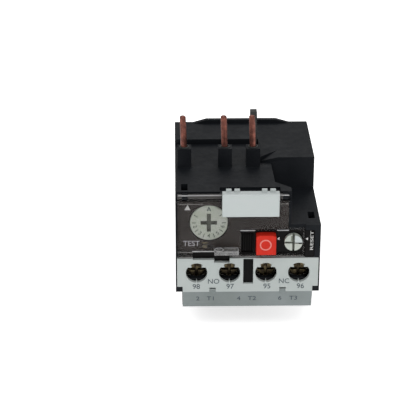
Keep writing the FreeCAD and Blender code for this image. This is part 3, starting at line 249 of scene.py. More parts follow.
@dataclass(frozen=True)
class Metal(Surface):
    """Bare or plated metal: drawn or rolled lines, blotches of tarnish and uneven gloss."""

    slot: str
    colour: Colour
    tarnish: Colour
    roughness: float
    lines: Point = (1.0, 1.0, 0.08)
    tarnish_mm: float = 3.5
    spots: float = 0.62
    line_mm: float = 0.14

    def paint(self, shader: Shader) -> None:
        """Feed a shader with stained colour and drawn lines.

        Args:
            shader: the material under construction.
        """
        stain = shader.between(shader.noise(self.tarnish_mm, 6), self.spots - 0.14, self.spots + 0.1)
        shader.feed("Base Color", shader.blend(stain, self.colour, self.tarnish))
        shader.feed("Metallic", 1.0)
        drawn = shader.node("ShaderNodeMapping", {"Vector": shader.coords, "Scale": self.lines})
        grain = shader.noise(self.line_mm, 3, drawn.outputs["Vector"])
        smooth, rough = self.roughness - 0.08, self.roughness + 0.14
        shader.feed("Roughness", shader.between(grain, 0.3, 0.7, smooth, rough))
        shader.bump(grain, 0.01, 0.5)


@dataclass(frozen=True)
class ClearSheet(Surface):
    """Clear polycarbonate sheet, with faint wiping haze."""

    slot: str
    colour: Colour
    haze: Colour
    alpha: float
    roughness: float = 0.06
    bend: float = 1.58

    def paint(self, shader: Shader) -> None:
        """Feed a shader with see-through colour and haze.

        Args:
            shader: the material under construction.
        """
        haze = shader.noise(5.0, 5)
        shader.feed("Base Color", shader.blend(shader.between(haze, 0.4, 0.7), self.colour, self.haze))
        shader.feed("Roughness", shader.between(haze, 0.35, 0.7, self.roughness, self.roughness + 0.12))
        shader.feed("Alpha", self.alpha)
        shader.feed("IOR", self.bend)


@dataclass(frozen=True)
class Ink(Surface):
    """Printed ink, a little thin in places, or flat painted shade. It has no slot of its own."""

    colour: Colour
    worn: Colour
    roughness: float = 0.55
    slot: str = ""

    def paint(self, shader: Shader) -> None:
        """Feed a shader with thin and worn colour.

        Args:
            shader: the material under construction.
        """
        thin = shader.between(shader.noise(0.35, 3), 0.5, 0.75)
        shader.feed("Base Color", shader.blend(thin, self.colour, self.worn))
        shader.feed("Roughness", self.roughness)
        shader.feed("Specular IOR Level", 0.3)


class Finish(Enum):
    """Every finish on the relay, painted shade and highlights among them."""

    CASING = Plastic("black_casing", (0.0072, 0.0084, 0.0102), (0.0108, 0.0122, 0.0146), 0.5, 0.065)
    PANEL = Plastic("black_panel", (0.0046, 0.0042, 0.0042), (0.0034, 0.0032, 0.0032), 0.42, 0.07)
    INNER = Plastic("black_inner", (0.0060, 0.0062, 0.0062), (0.0044, 0.0045, 0.0045), 0.6, 0.06)
    SCALE = Plastic("brown_scale", (0.021, 0.0150, 0.0130), (0.017, 0.0130, 0.0115), 0.6, 0.15, 0.3, 0.006)
    HOOK = Plastic("dark_hook", (0.034, 0.036, 0.034), (0.022, 0.023, 0.023), 0.5, 0.2)
    WHITE = Plastic(
        "white_cover", (0.36, 0.395, 0.385), (0.39, 0.42, 0.41), 0.5, 0.3, 0.25, 0.006, sheen_mm=14
    )
    MARKER = Plastic(
        "white_cover", (0.42, 0.46, 0.455), (0.45, 0.48, 0.475), 0.4, 0.35, 0.3, 0.004, sheen_mm=16
    )
    # STRIP: painted shade, a darker copy of the white cover for its down-facing strip and snap tongues
    STRIP = Plastic(
        "white_cover", (0.145, 0.168, 0.162), (0.195, 0.220, 0.222), 0.5, 0.3, 0.25, 0.006, sheen_mm=26
    )
    DIAL = Plastic("pale_dial", (0.37, 0.41, 0.335), (0.44, 0.455, 0.42), 0.42, 0.35, 0.3, 0.006, sheen_mm=4)
    # DIAL_RECESS: painted shade, a darker copy of the dial plastic for the setting dial's cross and the reset
    # dial's slot
    DIAL_RECESS = Plastic("pale_dial", (0.085, 0.095, 0.075), (0.12, 0.125, 0.105), 0.5, 0.3, 0.3, 0.006)
    RESET = Plastic("pale_dial", (0.36, 0.40, 0.36), (0.42, 0.44, 0.40), 0.4, 0.35, 0.3, 0.006, sheen_mm=3)
    TAN = Plastic("natural_plastic", (0.105, 0.09, 0.055), (0.14, 0.12, 0.08), 0.5, 0.3)
    NATURAL = Plastic("natural_plastic", (0.42, 0.38, 0.29), (0.47, 0.43, 0.35), 0.5, 0.35)
    RED = Plastic(
        "red_button", (0.46, 0.016, 0.008), (0.52, 0.024, 0.012), 0.4, 0.12, 0.25, 0.006, sheen_mm=3
    )
    SLIDE = Plastic("brown_slide", (0.060, 0.028, 0.014), (0.08, 0.038, 0.019), 0.5, 0.3)
    FLAG = Plastic("green_flag", (0.03, 0.16, 0.15), (0.04, 0.20, 0.18), 0.45, 0.35)
    CLEAR = ClearSheet("clear_plastic", (0.04, 0.036, 0.034), (0.09, 0.085, 0.08), 0.10)
    CLEAR_HINGE = ClearSheet("clear_plastic", (0.020, 0.017, 0.016), (0.030, 0.026, 0.024), 0.93, 0.45)
    # CLEAR_EDGE: painted highlights, a pale copy of the clear plastic for the lit edges of the cover and its
    # lug
    CLEAR_EDGE = ClearSheet("clear_plastic", (0.36, 0.36, 0.37), (0.50, 0.50, 0.50), 0.75, 0.2)
    CLEAR_LUG = ClearSheet("clear_plastic", (0.10, 0.10, 0.10), (0.34, 0.34, 0.34), 0.55, 0.2)
    # CLEAR_DIM: fainter painted highlights along the cover's edges
    CLEAR_DIM = ClearSheet("clear_plastic", (0.13, 0.125, 0.12), (0.22, 0.21, 0.20), 0.5, 0.2)
    STEEL = Metal("steel", (0.46, 0.46, 0.45), (0.24, 0.22, 0.20), 0.28)
    BLACKED = Metal("steel", (0.020, 0.019, 0.018), (0.012, 0.011, 0.010), 0.45)
    SCREW = Metal("plated_screws", (0.115, 0.092, 0.050), (0.025, 0.019, 0.013), 0.3, (1, 1, 1), 1.4, 0.46)
    PLATED = Metal("plated_steel", (0.40, 0.38, 0.32), (0.20, 0.18, 0.14), 0.3)
    COPPER = Metal("copper", (0.26, 0.100, 0.075), (0.12, 0.050, 0.040), 0.45, (1, 1, 0.06), 2.2, 0.50)
    BRASS = Metal("brass_strip", (0.60, 0.42, 0.18), (0.36, 0.24, 0.10), 0.32)
    BIMETAL = Metal("bimetal", (0.50, 0.49, 0.46), (0.34, 0.29, 0.24), 0.34)
    HEATER = Metal("heater_wire", (0.33, 0.31, 0.29), (0.18, 0.14, 0.12), 0.4)
    SILVER = Metal("contact_silver", (0.78, 0.77, 0.74), (0.45, 0.42, 0.36), 0.22)
    WHITE_INK = Ink((0.55, 0.55, 0.54), (0.42, 0.41, 0.40))
    GREY_INK = Ink((0.36, 0.35, 0.38), (0.20, 0.19, 0.21))
    DARK_INK = Ink((0.030, 0.042, 0.055), (0.075, 0.095, 0.11))
    FAINT_INK = Ink((0.085, 0.095, 0.085), (0.14, 0.155, 0.13))
    # OLIVE_INK: painted shade, a dark olive sheet at the mouth of the reset dial's slot
    OLIVE_INK = Ink((0.16, 0.175, 0.14), (0.20, 0.215, 0.18))
    TAN_INK = Ink((0.20, 0.16, 0.08), (0.12, 0.10, 0.05))
    PINK_INK = Ink((0.62, 0.19, 0.17), (0.56, 0.11, 0.09))
    # HOLE: near-black painted shade for latch windows, vents, the rear groove, ejector marks and the reset
    # notch
    HOLE = Ink((0.003, 0.003, 0.003), (0.004, 0.004, 0.004), 0.9)

    @property
    def material(self) -> bpy.types.Material:
        """This finish's material, made once."""
        name = f"{self.name.lower()}_finish"
        return bpy.data.materials.get(name) or self.value.make(name)


# ---------------------------------------------------------------- surfaces


def grid_faces(rows: int, columns: int, wrap: bool) -> np.ndarray:
    """Corner numbers of the quads of a grid, row after row.

    Args:
        rows: points along the first parameter.
        columns: points round the second one.
        wrap: whether the last column joins the first.

    Returns:
        One row of four point numbers for each quad.
    """
    row = np.arange(rows - 1)[:, None] * columns
    column = np.arange(columns if wrap else columns - 1)[None, :]
    after = (column + 1) % columns
    corners = (row + column, row + after, row + columns + after, row + columns + column)
    return np.stack([c.ravel() for c in corners], axis=1)


def closed_grid(points: np.ndarray) -> Mesh:
    """A surface whose columns wrap round and whose first and last rows are closed with one face each.

    Args:
        points: an array of rows by columns by 3, in millimetres.

    Returns:
        Its points and faces.
    """
    rows, columns, _ = points.shape
    faces = grid_faces(rows, columns, True).tolist()
    faces.append(list(range(columns))[::-1])
    faces.append(list(range((rows - 1) * columns, rows * columns)))
    return points.reshape(-1, 3), faces


def join(parts: Sequence[Mesh]) -> Mesh:
    """Several meshes as one.

    Args:
        parts: the points and faces of each.

    Returns:
        The points and faces of all of them together.
    """
    starts = np.cumsum([0] + [len(points) for points, _ in parts])
    faces = [[start + i for i in face] for start, (_, some) in zip(starts, parts) for face in some]
    return np.concatenate([points for points, _ in parts]), faces


def rounded_block(low: Point, high: Point, radius: float, steps: int = 4) -> Mesh:
    """A box with round edges: each unit direction d goes to its own corner's centre plus radius times d.

    Args:
        low: lowest corner.
        high: highest corner.
        radius: radius of the edges.
        steps: facets round each quarter turn.

    Returns:
        Its points and faces.
    """
    inner_low, inner_high = np.array(low, float) + radius, np.array(high, float) - radius
    quarter = np.linspace(0, math.pi / 2, steps + 1)
    turn = np.concatenate([quarter + k * math.pi / 2 for k in range(4)])
    tilt = np.concatenate([quarter - math.pi / 2, quarter])[:, None]
    right, rear = (np.repeat(signs, steps + 1)[None] for signs in ((1, 0, 0, 1), (1, 1, 0, 0)))
    upper = np.repeat((0, 1), steps + 1)[:, None]
    side = np.stack(np.broadcast_arrays(right, rear, upper), axis=2)
    ways = (np.cos(tilt) * np.cos(turn), np.cos(tilt) * np.sin(turn), np.sin(tilt))
    direction = np.stack(np.broadcast_arrays(*ways), axis=2)
    centre = np.where(side > 0, inner_high, inner_low)
    return closed_grid(centre + radius * direction)


def lathe(profile: Sequence[tuple[float, float]], centre: Point, axis: str = "z", steps: int = 48) -> Mesh:
    """A turned shape: the profile's radius and height carried round an axis through centre.

    Args:
        profile: pairs of radius and distance along the axis.
        centre: a point on the axis.
        axis: "z" for upright, "y" for pointing to the rear, "x" for pointing right.
        steps: facets round.

    Returns:
        Its points and faces.
    """
    line = np.array(profile, float)
    angle = np.linspace(0, 2 * math.pi, steps, endpoint=False)
    round_a = line[:, :1] * np.cos(angle)
    round_b = line[:, :1] * np.sin(angle)
    along = np.repeat(line[:, 1:], steps, 1)
    order = {"z": (round_a, round_b, along), "y": (round_b, along, round_a), "x": (along, round_a, round_b)}
    return closed_grid(np.stack(order[axis], axis=2) + np.array(centre))


def ring_of(profile: Sequence[tuple[float, float]], centre: Point, steps: int = 32) -> Mesh:
    """A closed ring: the profile's loop of radius and height carried round an upright axis through centre.

    Args:
        profile: the loop's corners, as radius and height.
        centre: a point on the axis.
        steps: facets round.

    Returns:
        Its points and faces.
    """
    loop = np.array(profile, float)
    angle = np.linspace(0, 2 * math.pi, steps, endpoint=False)[:, None]
    rise = np.repeat(loop[None, :, 1], steps, 0)
    points = np.stack([loop[:, 0] * np.cos(angle), loop[:, 0] * np.sin(angle), rise], axis=2)
    count = len(loop)
    last = (steps - 1) * count
    faces = grid_faces(steps, count, True).tolist()
    faces += [[last + k, last + (k + 1) % count, (k + 1) % count, k] for k in range(count)]
    return points.reshape(-1, 3) + np.array(centre), faces


def tube(path: np.ndarray, side: np.ndarray, lift: np.ndarray, radius: float, sides: int = 10) -> Mesh:
    """A round wire: a circle spanned by the side and lift directions, carried along a path.

    Args:
        path: its points.
        side: a unit direction across the path at each point.
        lift: a second unit direction across it at each point.
        radius: the wire's radius.
        sides: facets round the wire.

    Returns:
        Its points and faces.
    """
    angle = np.linspace(0, 2 * math.pi, sides, endpoint=False)
    ring = np.cos(angle)[None, :, None] * side[:, None, :] + np.sin(angle)[None, :, None] * lift[:, None, :]
    return closed_grid(path[:, None, :] + radius * ring)


def put(
    name: str, mesh: Mesh, body: str, finish: Finish, replaced: Sequence[str] = (), smooth: float = 40
) -> bpy.types.Object:
    """Make a piece from points and faces, with its normals outwards, and link it into the scene.

    Args:
        name: the piece's name.
        mesh: points in millimetres, and faces.
        body: the body it moves with.
        finish: its finish.
        replaced: nodes that it stands for.
        smooth: edges flatter than this many degrees shade smoothly.

    Returns:
        The new object.
    """
    points, faces = mesh
    data = bpy.data.meshes.new(name)
    data.from_pydata((np.asarray(points) * MM).tolist(), [], faces)
    made = bmesh.new()
    made.from_mesh(data)
    bmesh.ops.remove_doubles(made, verts=made.verts, dist=1e-7)
    bmesh.ops.recalc_face_normals(made, faces=made.faces)
    made.to_mesh(data)
    made.free()
    return register(bpy.data.objects.new(name, data), body, finish, replaced, smooth)


def register(
    piece: bpy.types.Object, body: str, finish: Finish, replaced: Sequence[str], smooth: float
) -> bpy.types.Object:
    """Link an object, give it its finish, say what it rides on and hide the nodes that it stands for.

    Args:
        piece: the object.
        body: the body it moves with.
        finish: its finish.
        replaced: nodes that it stands for.
        smooth: edges flatter than this many degrees shade smoothly.

    Returns:
        The same object.
    """
    bpy.context.scene.collection.objects.link(piece)
    piece.data.materials.clear()
    piece.data.materials.append(finish.material)
    piece.data.shade_smooth()
    piece.data.set_sharp_from_angle(angle=math.radians(smooth))
    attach(piece, body)
    if replaced:
        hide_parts(*replaced)
    LOG.info("%s: %d faces on %s", piece.name, len(piece.data.polygons), body)
    return piece


def soften(
    node: str, name: str, body: str, finish: Finish, width: float = 0.15, *others: tuple[Finish, Chooser]
) -> bpy.types.Object:
    """A copy of a node with its flat faces made whole and its edges rounded, standing for the node.

    Args:
        node: the node to copy.
        name: the piece's name.
        body: the body it moves with.
        finish: its finish.
        width: width of the rounding in millimetres.
        others: further finishes, each with which of the faces' middles, in millimetres, it goes on.

    Returns:
        The new object.
    """
    data = frame["nodes"][node].data.copy()
    data.name = name
    made = bmesh.new()
    made.from_mesh(data)
    bmesh.ops.remove_doubles(made, verts=made.verts, dist=2e-6)
    bmesh.ops.dissolve_limit(made, angle_limit=math.radians(0.6), verts=made.verts, edges=made.edges)
    made.to_mesh(data)
    made.free()
    piece = register(bpy.data.objects.new(name, data), body, finish, [node], 35)
    middles = np.empty(len(data.polygons) * 3)
    data.polygons.foreach_get("center", middles)
    middles = middles.reshape(-1, 3) / MM
    index = np.zeros(len(middles), np.int32)
    for place, (further, chosen) in enumerate(others, 1):
        data.materials.append(further.material)
        index[chosen(middles)] = place
    data.polygons.foreach_set("material_index", index)
    bevel = piece.modifiers.new("edges", "BEVEL")
    bevel.width = width * MM
    bevel.segments = 2
    bevel.limit_method = "ANGLE"
    bevel.angle_limit = math.radians(35)
    bevel.use_clamp_overlap = True
    bevel.harden_normals = True
    return piece


def dress(finish: Finish, *nodes: str) -> None:
    """Give nodes that stay as they are their finish.

    Args:
        finish: the finish.
        nodes: the nodes' names.
    """
    for node in nodes:
        for place in frame["nodes"][node].material_slots:
            place.material = finish.material


def corners(node: str) -> tuple[np.ndarray, np.ndarray]:
    """The lowest and highest corners of a node's box, in millimetres."""
    low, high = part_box(node)
    return np.array(low) / MM, np.array(high) / MM


def middle(node: str) -> np.ndarray:
    """The middle of a node's box, in millimetres."""
    low, high = corners(node)
    return (low + high) / 2


def front_of(node: str) -> float:
    """Y of a node's foremost point, in millimetres."""
    return corners(node)[0][1]


def free_pin(pole: int) -> tuple[float, float, float, float]:
    """Where a pole's free pin stands.

    Args:
        pole: which pole it belongs to.

    Returns:
        Its X, its Y, the height that it starts from and its radius, in millimetres.
    """
    mount = next(m for m in frame["record"]["mounts"] if m["name"] == f"line_pin_{pole}")
    x, y, z = np.array(mount["pos_m"]) / MM
    return x, y, z - mount["dims"]["length_mm"] / 2, mount["dims"]["r_mm"]


# ---------------------------------------------------------------- printing


class Printing:
    """Printed words and marks, or painted shade, on one flat face that looks forwards, as a single thin
    piece.
    """

    thickness = 0.03
    capital_share = 1.4

    def __init__(
        self, name: str, body: str, face: float, proud: float = 0.01, lean: float = 0.0, pivot: float = 0.0
    ) -> None:
        """Set the face.

        Args:
            name: the piece's name.
            body: the body it moves with.
            face: the face's Y in millimetres.
            proud: how far in front of the face the ink's back stands.
            lean: how far the face goes back for each millimetre down from pivot.
            pivot: the height that the lean starts from.
        """
        self.name, self.body, self.depth = name, body, face - proud
        self.lean, self.pivot = lean, pivot
        self.parts: list[Mesh] = []

    def place(self, flat: np.ndarray, faces: list) -> "Printing":
        """Stand a flat drawing up on the face: its x goes right, its y goes up and its z comes forwards.

        Args:
            flat: the drawing's points, in millimetres.
            faces: its faces.

        Returns:
            This printing.
        """
        depth = self.depth - flat[:, 2] + self.lean * np.maximum(self.pivot - flat[:, 1], 0)
        self.parts.append((np.stack([flat[:, 0], depth, flat[:, 1]], axis=1), faces))
        return self

    def word(
        self,
        text: str,
        x: float,
        height: float,
        size: float,
        turn: float = 0.0,
        wide: float = 1.0,
        bold: float = 0.0,
    ) -> "Printing":
        """Print a word with its middle at a place.

        Args:
            text: the word.
            x: the middle's X.
            height: the middle's height.
            size: height of the capitals, roughly.
            turn: anticlockwise turn in degrees.
            wide: stretch of the letters' width.
            bold: how much thicker each side of a stroke gets.

        Returns:
            This printing.
        """
        curve = bpy.data.curves.new("word", "FONT")
        curve.body, curve.size = text, size * self.capital_share
        curve.align_x, curve.align_y = "CENTER", "CENTER"
        curve.resolution_u, curve.offset, curve.extrude = 3, bold, self.thickness / 2
        carrier = bpy.data.objects.new("word", curve)
        data = bpy.data.meshes.new_from_object(carrier)
        flat = np.empty(len(data.vertices) * 3)
        data.vertices.foreach_get("co", flat)
        flat = flat.reshape(-1, 3) * (wide, 1, 1)
        spin = Matrix.Rotation(math.radians(turn), 3, "Z")
        flat = flat @ np.array(spin).T + (x, height, self.thickness / 2)
        self.place(flat, [list(p.vertices) for p in data.polygons])
        bpy.data.objects.remove(carrier)
        bpy.data.curves.remove(curve)
        bpy.data.meshes.remove(data)
        return self

    def shape(self, outline: Sequence[Pair]) -> "Printing":
        """Print a filled convex outline.

        Args:
            outline: its corners, as X and height, anticlockwise.

        Returns:
            This printing.
        """
        flat = np.array(outline, float)
        rows = [np.column_stack([flat, np.full(len(flat), z)]) for z in (0.0, self.thickness)]
        return self.place(*closed_grid(np.stack(rows)))

    def ring(self, x: float, height: float, radius: float, width: float) -> "Printing":
        """Print a ring.

        Args:
            x: the middle's X.
            height: the middle's height.
            radius: its outer radius.
            width: the line's width.

        Returns:
            This printing.
        """
        inner, top = radius - width, self.thickness
        loop = [(radius, 0), (radius, top), (inner, top), (inner, 0)]
        return self.place(*ring_of(loop, (x, height, 0), 48))

    def bar(self, start: Pair, end: Pair, width: float) -> "Printing":
        """Print a straight line.

        Args:
            start: one end, as X and height.
            end: the other end.
            width: the line's width.

        Returns:
            This printing.
        """
        a, b = np.array(start, float), np.array(end, float)
        along = (b - a) / np.linalg.norm(b - a)
        side = np.array([-along[1], along[0]]) * width / 2
        return self.shape([a - side, b - side, b + side, a + side])

    def finish(self, finish: Finish) -> bpy.types.Object:
        """Make the piece in an ink, and return it."""
        return put(self.name, join(self.parts), self.body, finish, smooth=20)


# ---------------------------------------------------------------- sub-assemblies


@dataclass
class Casing:
    """The black casing, its rear cover and the hook that catches on the contactor.

    The rim round each pin is given by its corners: how far out from the pin, and how far above its root.
    """

    edge: float = 0.18
    cut: float = 0.4
    latches: Pair = (18.5, 33.0)
    latch_tall: float = 4.2
    latch_span: Pair = (2.6, 1.0)
    vent_start: float = 8.0
    vent_pitch: float = 2.3
    vent_wide: float = 0.9
    vent_heights: Pair = (24.0, 32.0)
    groove_half: float = 15.0
    groove_heights: Pair = (18.5, 36.5)
    groove_line: float = 0.14
    ejector: float = 1.1
    ejector_out: float = 18.5
    ejector_heights: Pair = (19.0, 36.0)
    rim: Outline = ((0.08, 0), (0.62, 0), (0.56, 0.28), (0.34, 0.36), (0.1, 0.26))

    def build(self) -> None:
        """Round the edges of the mouldings and mark their sides."""
        soften("main_housing", "casing_shell", "casing", Finish.CASING, self.edge)
        soften("back_cover", "casing_rear", "casing", Finish.CASING, self.edge)
        soften("contactor_hook", "casing_hook", "casing", Finish.HOOK, self.edge)
        self.sleeve_rims()
        self.side_marks()
        self.rear_marks()

    def side_marks(self) -> None:
        """Latch windows and vent slots on both sides, each a thin block of painted shade let into the wall.
        """
        low, high = corners("main_housing")
        seam = front_of("back_cover")
        front, rear = seam - self.latch_span[0], seam - self.latch_span[1]
        bottom, top = self.vent_heights
        vents = np.arange(5) * self.vent_pitch + self.vent_start
        marks = [((front, z), (rear, z + self.latch_tall)) for z in self.latches]
        marks += [((y, bottom), (y + self.vent_wide, top)) for y in vents]
        parts = []
        for wall, inward in ((low[0], 1), (high[0], -1)):
            near, far = sorted((wall - 0.02 * inward, wall + self.cut * inward))
            parts += [rounded_block((near, *start), (far, *end), 0.1, 2) for start, end in marks]
        # painted shade: near-black blocks stand for the shade inside the windows and slots
        put("side_marks", join(parts), "casing", Finish.HOLE)

    def rear_marks(self) -> None:
        """A fine groove round the middle of the rear cover, and four round ejector marks, all in painted
        shade.
        """
        back = corners("back_cover")[1][1]
        front, rear = back - 0.3, back + 0.02
        half, line, (low, high) = self.groove_half, self.groove_line, self.groove_heights
        bars = [((-half, z - line), (half, z + line)) for z in (low, high)]
        bars += [((x - line, low), (x + line, high)) for x in (-half, half)]
        parts = [rounded_block((a[0], front, a[1]), (b[0], rear, b[1]), 0.05, 2) for a, b in bars]
        disc = [(0.02, front), (self.ejector, front), (self.ejector, rear), (0.02, rear)]
        places = [(x, 0, z) for x in (-self.ejector_out, self.ejector_out) for z in self.ejector_heights]
        parts += [lathe(disc, place, "y", 28) for place in places]
        # painted shade: near-black bars and discs stand for the shade in the groove and ejector marks
        put("rear_marks", join(parts), "casing", Finish.HOLE)

    def sleeve_rims(self) -> None:
        """The small raised rim round each pin at the top of its sleeve."""
        parts = []
        for pole in POLES:
            x, y, start, radius = free_pin(pole)
            parts.append(ring_of([(radius + out, start + up) for out, up in self.rim], (x, y, 0)))
        put("sleeve_rims", join(parts), "casing", Finish.HOOK)


@dataclass
class FrontPanel:
    """The black panel with its blank ribbed window, and the printed plate behind the clear cover.

    The window is its left, lower, right and upper edges. The pointers are their corners, as X and height.
    """

    rib_pitch: float = 0.72
    rib_wide: float = 0.34
    rib_tall: float = 0.45
    window: tuple[float, float, float, float] = (-2.0, 28.6, 1.7, 35.2)
    window_floor: float = 1.6
    panel_back: float = 0.6
    scale_pointer: Outline = ((-19.75, 43.2), (-17.85, 43.2), (-18.8, 44.9))
    stop_pointer: Outline = ((8.95, 33.4), (9.7, 32.9), (9.7, 34.0))
    reset_pointer: Outline = ((17.75, 33.6), (18.5, 33.15), (18.5, 34.05))

    def build(self) -> None:
        """Build the panel, its ribs and the plate's marks."""
        soften("front_cover", "panel", "casing", Finish.PANEL, 0.12)
        soften("scale_plate", "panel_plate", "casing", Finish.SCALE, 0.04)
        self.ribs()
        self.plate_marks()
        self.panel_marks()

    def ribs(self) -> None:
        """Upright ribs on the floor of the blank window, each a rounded block."""
        left, low, right, high = self.window
        floor = front_of("main_housing") + self.window_floor
        near, far, wide = floor - self.rib_tall, floor + 0.05, self.rib_wide
        places = np.arange(left + 0.45, right - 0.2, self.rib_pitch)
        parts = [rounded_block((x, near, low + 0.3), (x + wide, far, high - 0.3), 0.12, 2) for x in places]
        put("window_ribs", join(parts), "casing", Finish.PANEL)

    def plate_marks(self) -> None:
        """The scale's triangle and the test mark on the plate."""
        face = front_of("scale_plate")
        Printing("plate_marks", "casing", face).shape(self.scale_pointer).finish(Finish.WHITE_INK)
        grey = Printing("test_word", "casing", face).word("TEST", -17.6, 31.75, 1.8, wide=0.95, bold=0.02)
        grey.finish(Finish.GREY_INK)
        Printing("test_tick", "casing", face).bar((-14.2, 32.0), (-12.6, 32.0), 0.22).finish(Finish.TAN_INK)

    def panel_marks(self) -> None:
        """White pointers beside the buttons, and the word beside the reset dial."""
        face = front_of("main_housing")
        left = Printing("panel_marks", "casing", face + self.panel_back).shape(self.stop_pointer)
        left.finish(Finish.WHITE_INK)
        right = Printing("reset_marks", "casing", face).shape(self.reset_pointer)
        right.word("RESET", 19.75, 33.0, 0.95, turn=90, wide=1.9).finish(Finish.WHITE_INK)


@dataclass
class ClearLid:
    """The clear hinged cover, painted highlights on its moulded edges, and the white marker plate clipped
    over it.

    The seal lug's eye is its middle, back from the lug's front, and its rim's corners: radius and height.
    """

    line: float = 0.16
    clip_rise: float = 0.9
    roll_tall: float = 2.3
    roll_back: float = 0.35
    lug_reach: float = 3.0
    lug_line: float = 0.24
    rim_inset: float = 0.1
    eye: Point = (-9.1, 1.5, 0.0)
    eye_rim: Outline = ((1.1, 30.7), (1.5, 30.7), (1.5, 30.86), (1.3, 30.92), (1.1, 30.86))

    def build(self) -> None:
        """Build the cover, its edge highlights, its pin and the marker plate."""
        roll = corners("clear_cover")[1][2] - self.roll_tall
        sheet = front_of("clear_cover") + self.lug_reach - 0.05
        dark = (Finish.CLEAR_HINGE, lambda middles: middles[:, 2] > roll)
        lug = (Finish.CLEAR_LUG, lambda middles: middles[:, 1] < sheet)
        soften("clear_cover", "lid_sheet", "lid", Finish.CLEAR, 0.08, dark, lug)
        self.lit_edges()
        self.lug_edges()
        dress(Finish.BLACKED, "cover_pin")
        soften("marker_plate", "marker_hood", "lid", Finish.MARKER, 0.16)
        self.marker_rim()

    def marker_rim(self) -> None:
        """The raised rim along the marker's top and the fine one down its right side."""
        low, high = corners("marker_plate")
        left, right, near, far = low[0] + self.rim_inset, high[0] - self.rim_inset, low[1], low[1] + 0.3
        top = high[2] - self.clip_rise
        parts = [
            rounded_block((left, near - 0.12, top - 0.62), (right, far, top - 0.02), 0.12, 3),
            rounded_block((high[0] - 0.5, near - 0.05, low[2] + 0.1), (right, far, top - 0.5), 0.1, 3),
        ]
        put("marker_rim", join(parts), "lid", Finish.MARKER)

    def lit_edges(self) -> None:
        """Thin ridges on the clear cover's moulded edges, pale as painted highlights where it catches the
        light.

        Each ridge is its left end, its right end, its height and how far back from the sheet it lies.
        """
        wall = corners("clear_cover")[0][0] + 0.3
        bright = (
            (wall, -8.4, 48.3, self.roll_back), (9.5, 12.2, 48.3, self.roll_back), (-17.2, -10.4, 29.5, 0),
            (-2.3, 2.0, 36.6, 0), (9.0, 12.4, 36.6, 0),
        )
        dim = (
            (wall, -14.0, 45.6, 0), (9.6, 12.2, 45.6, 0), (wall, -17.2, 29.25, 0), (wall, -17.3, 27.5, 0),
            (-5.0, 17.0, 27.75, 0),
        )
        sheet = front_of("clear_cover") + self.lug_reach
        near, far, r = sheet - 0.06, sheet + 0.2, self.line
        # painted highlights: the pale ridges stand for light caught along the cover's moulded edges
        for name, ridges, finish in (
            ("lid_edges_bright", bright, Finish.CLEAR_EDGE), ("lid_edges_dim", dim, Finish.CLEAR_DIM)
        ):
            parts = [
                rounded_block((x0 - r, near + back, z - r), (x1 + r, far + back, z + r), 0.07, 2)
                for x0, x1, z, back in ridges
            ]
            put(name, join(parts), "lid", finish)

    def lug_edges(self) -> None:
        """The seal lug's painted highlights: a rim round its eye and ridges along its front and its end."""
        front, line, top = front_of("clear_cover"), self.lug_line, 30.62
        near, back = front + line, front + self.lug_reach - 0.06
        left, right, end = -7.6, -3.1, -3.3
        ridges = [
            ((left, front, top), (right, near, top + line)),
            ((-10.5, front, 29.55), (right, near, 29.55 + line)),
            ((end, front, top), (end + line, back - 0.04, top + line)),
            ((end, front, 29.6), (end + line, near, 30.8)),
            ((left, back - line, top), (right, back, top + line)),
        ]
        # painted highlights: the pale rim and ridges stand for light caught on the lug's edges
        rim = ring_of(self.eye_rim, (self.eye[0], front + self.eye[1], self.eye[2]))
        parts = [rim] + [rounded_block(low, high, 0.1, 2) for low, high in ridges]
        put("lug_edges", join(parts), "lid", Finish.CLEAR_EDGE)


@dataclass
class SettingDial:
    """The pale setting dial with its cross, painted darker as shade, and its faint printed scale."""

    cross_reach: float = 3.2
    cross_depths: Pair = (0.2, 1.2)
    ticks: tuple[int, ...] = (150, 180, 215, 250, 290, 325, 0, 35)
    tick_span: Pair = (4.0, 5.3)
    tick_line: float = 0.26
    numbers: tuple[tuple[int, str], ...] = ((197, "2"), (232, "3"), (270, "4"), (308, "5"), (343, "6"))
    number_reach: float = 4.5
    pointer_half: float = 0.55

    def build(self) -> None:
        """Build the dial and its marks, and finish the cam and lever behind it."""
        # painted shade: the cross recess takes a darker copy of the dial finish
        soften("current_dial", "dial_face", "dial", Finish.DIAL, 0.12, (Finish.DIAL_RECESS, self.in_cross))
        self.marks()
        dress(Finish.NATURAL, "adjusting_cam")
        dress(Finish.BRASS, "cam_lever")
        dress(Finish.STEEL, "lever_pin")

    def in_cross(self, points: np.ndarray) -> np.ndarray:
        """Which points lie in the cross recess, which is painted darker as shade.

        Args:
            points: points in millimetres.

        Returns:
            True for each point that does.
        """
        x, _, z = middle("current_dial")
        depth = points[:, 1] - front_of("current_dial")
        shallow, deep = self.cross_depths
        near = np.hypot(points[:, 0] - x, points[:, 2] - z) < self.cross_reach
        return (depth > shallow) & (depth < deep) & near

    @staticmethod
    def at(angle: float, reach: float) -> np.ndarray:
        """A place on the dial.

        Args:
            angle: anticlockwise from the right, in degrees.
            reach: distance from the axis.

        Returns:
            Its X and its height, in millimetres.
        """
        x, _, z = middle("current_dial")
        turn = math.radians(angle)
        return np.array([x + math.cos(turn) * reach, z + math.sin(turn) * reach])

    def marks(self) -> None:
        """Radial ticks between which plain numbers run round the dial, and the pointer at its top."""
        x, _, z = middle("current_dial")
        face = front_of("current_dial")
        inner, outer = self.tick_span
        faint = Printing("dial_scale", "dial", face)
        for angle in self.ticks:
            faint.bar(self.at(angle, inner), self.at(angle, outer), self.tick_line)
        for angle, text in self.numbers:
            faint.word(text, *self.at(angle, self.number_reach), 1.25, turn=angle - 270, bold=0.02)
        faint.finish(Finish.FAINT_INK)
        dark = Printing("dial_pointer", "dial", face)
        for foot in (x - self.pointer_half, x + self.pointer_half):
            dark.bar((foot, z + inner), (x, z + outer), 0.24)
        dark.bar((x - 0.4, z + 4.35), (x + 0.4, z + 4.35), 0.2).finish(Finish.DARK_INK)


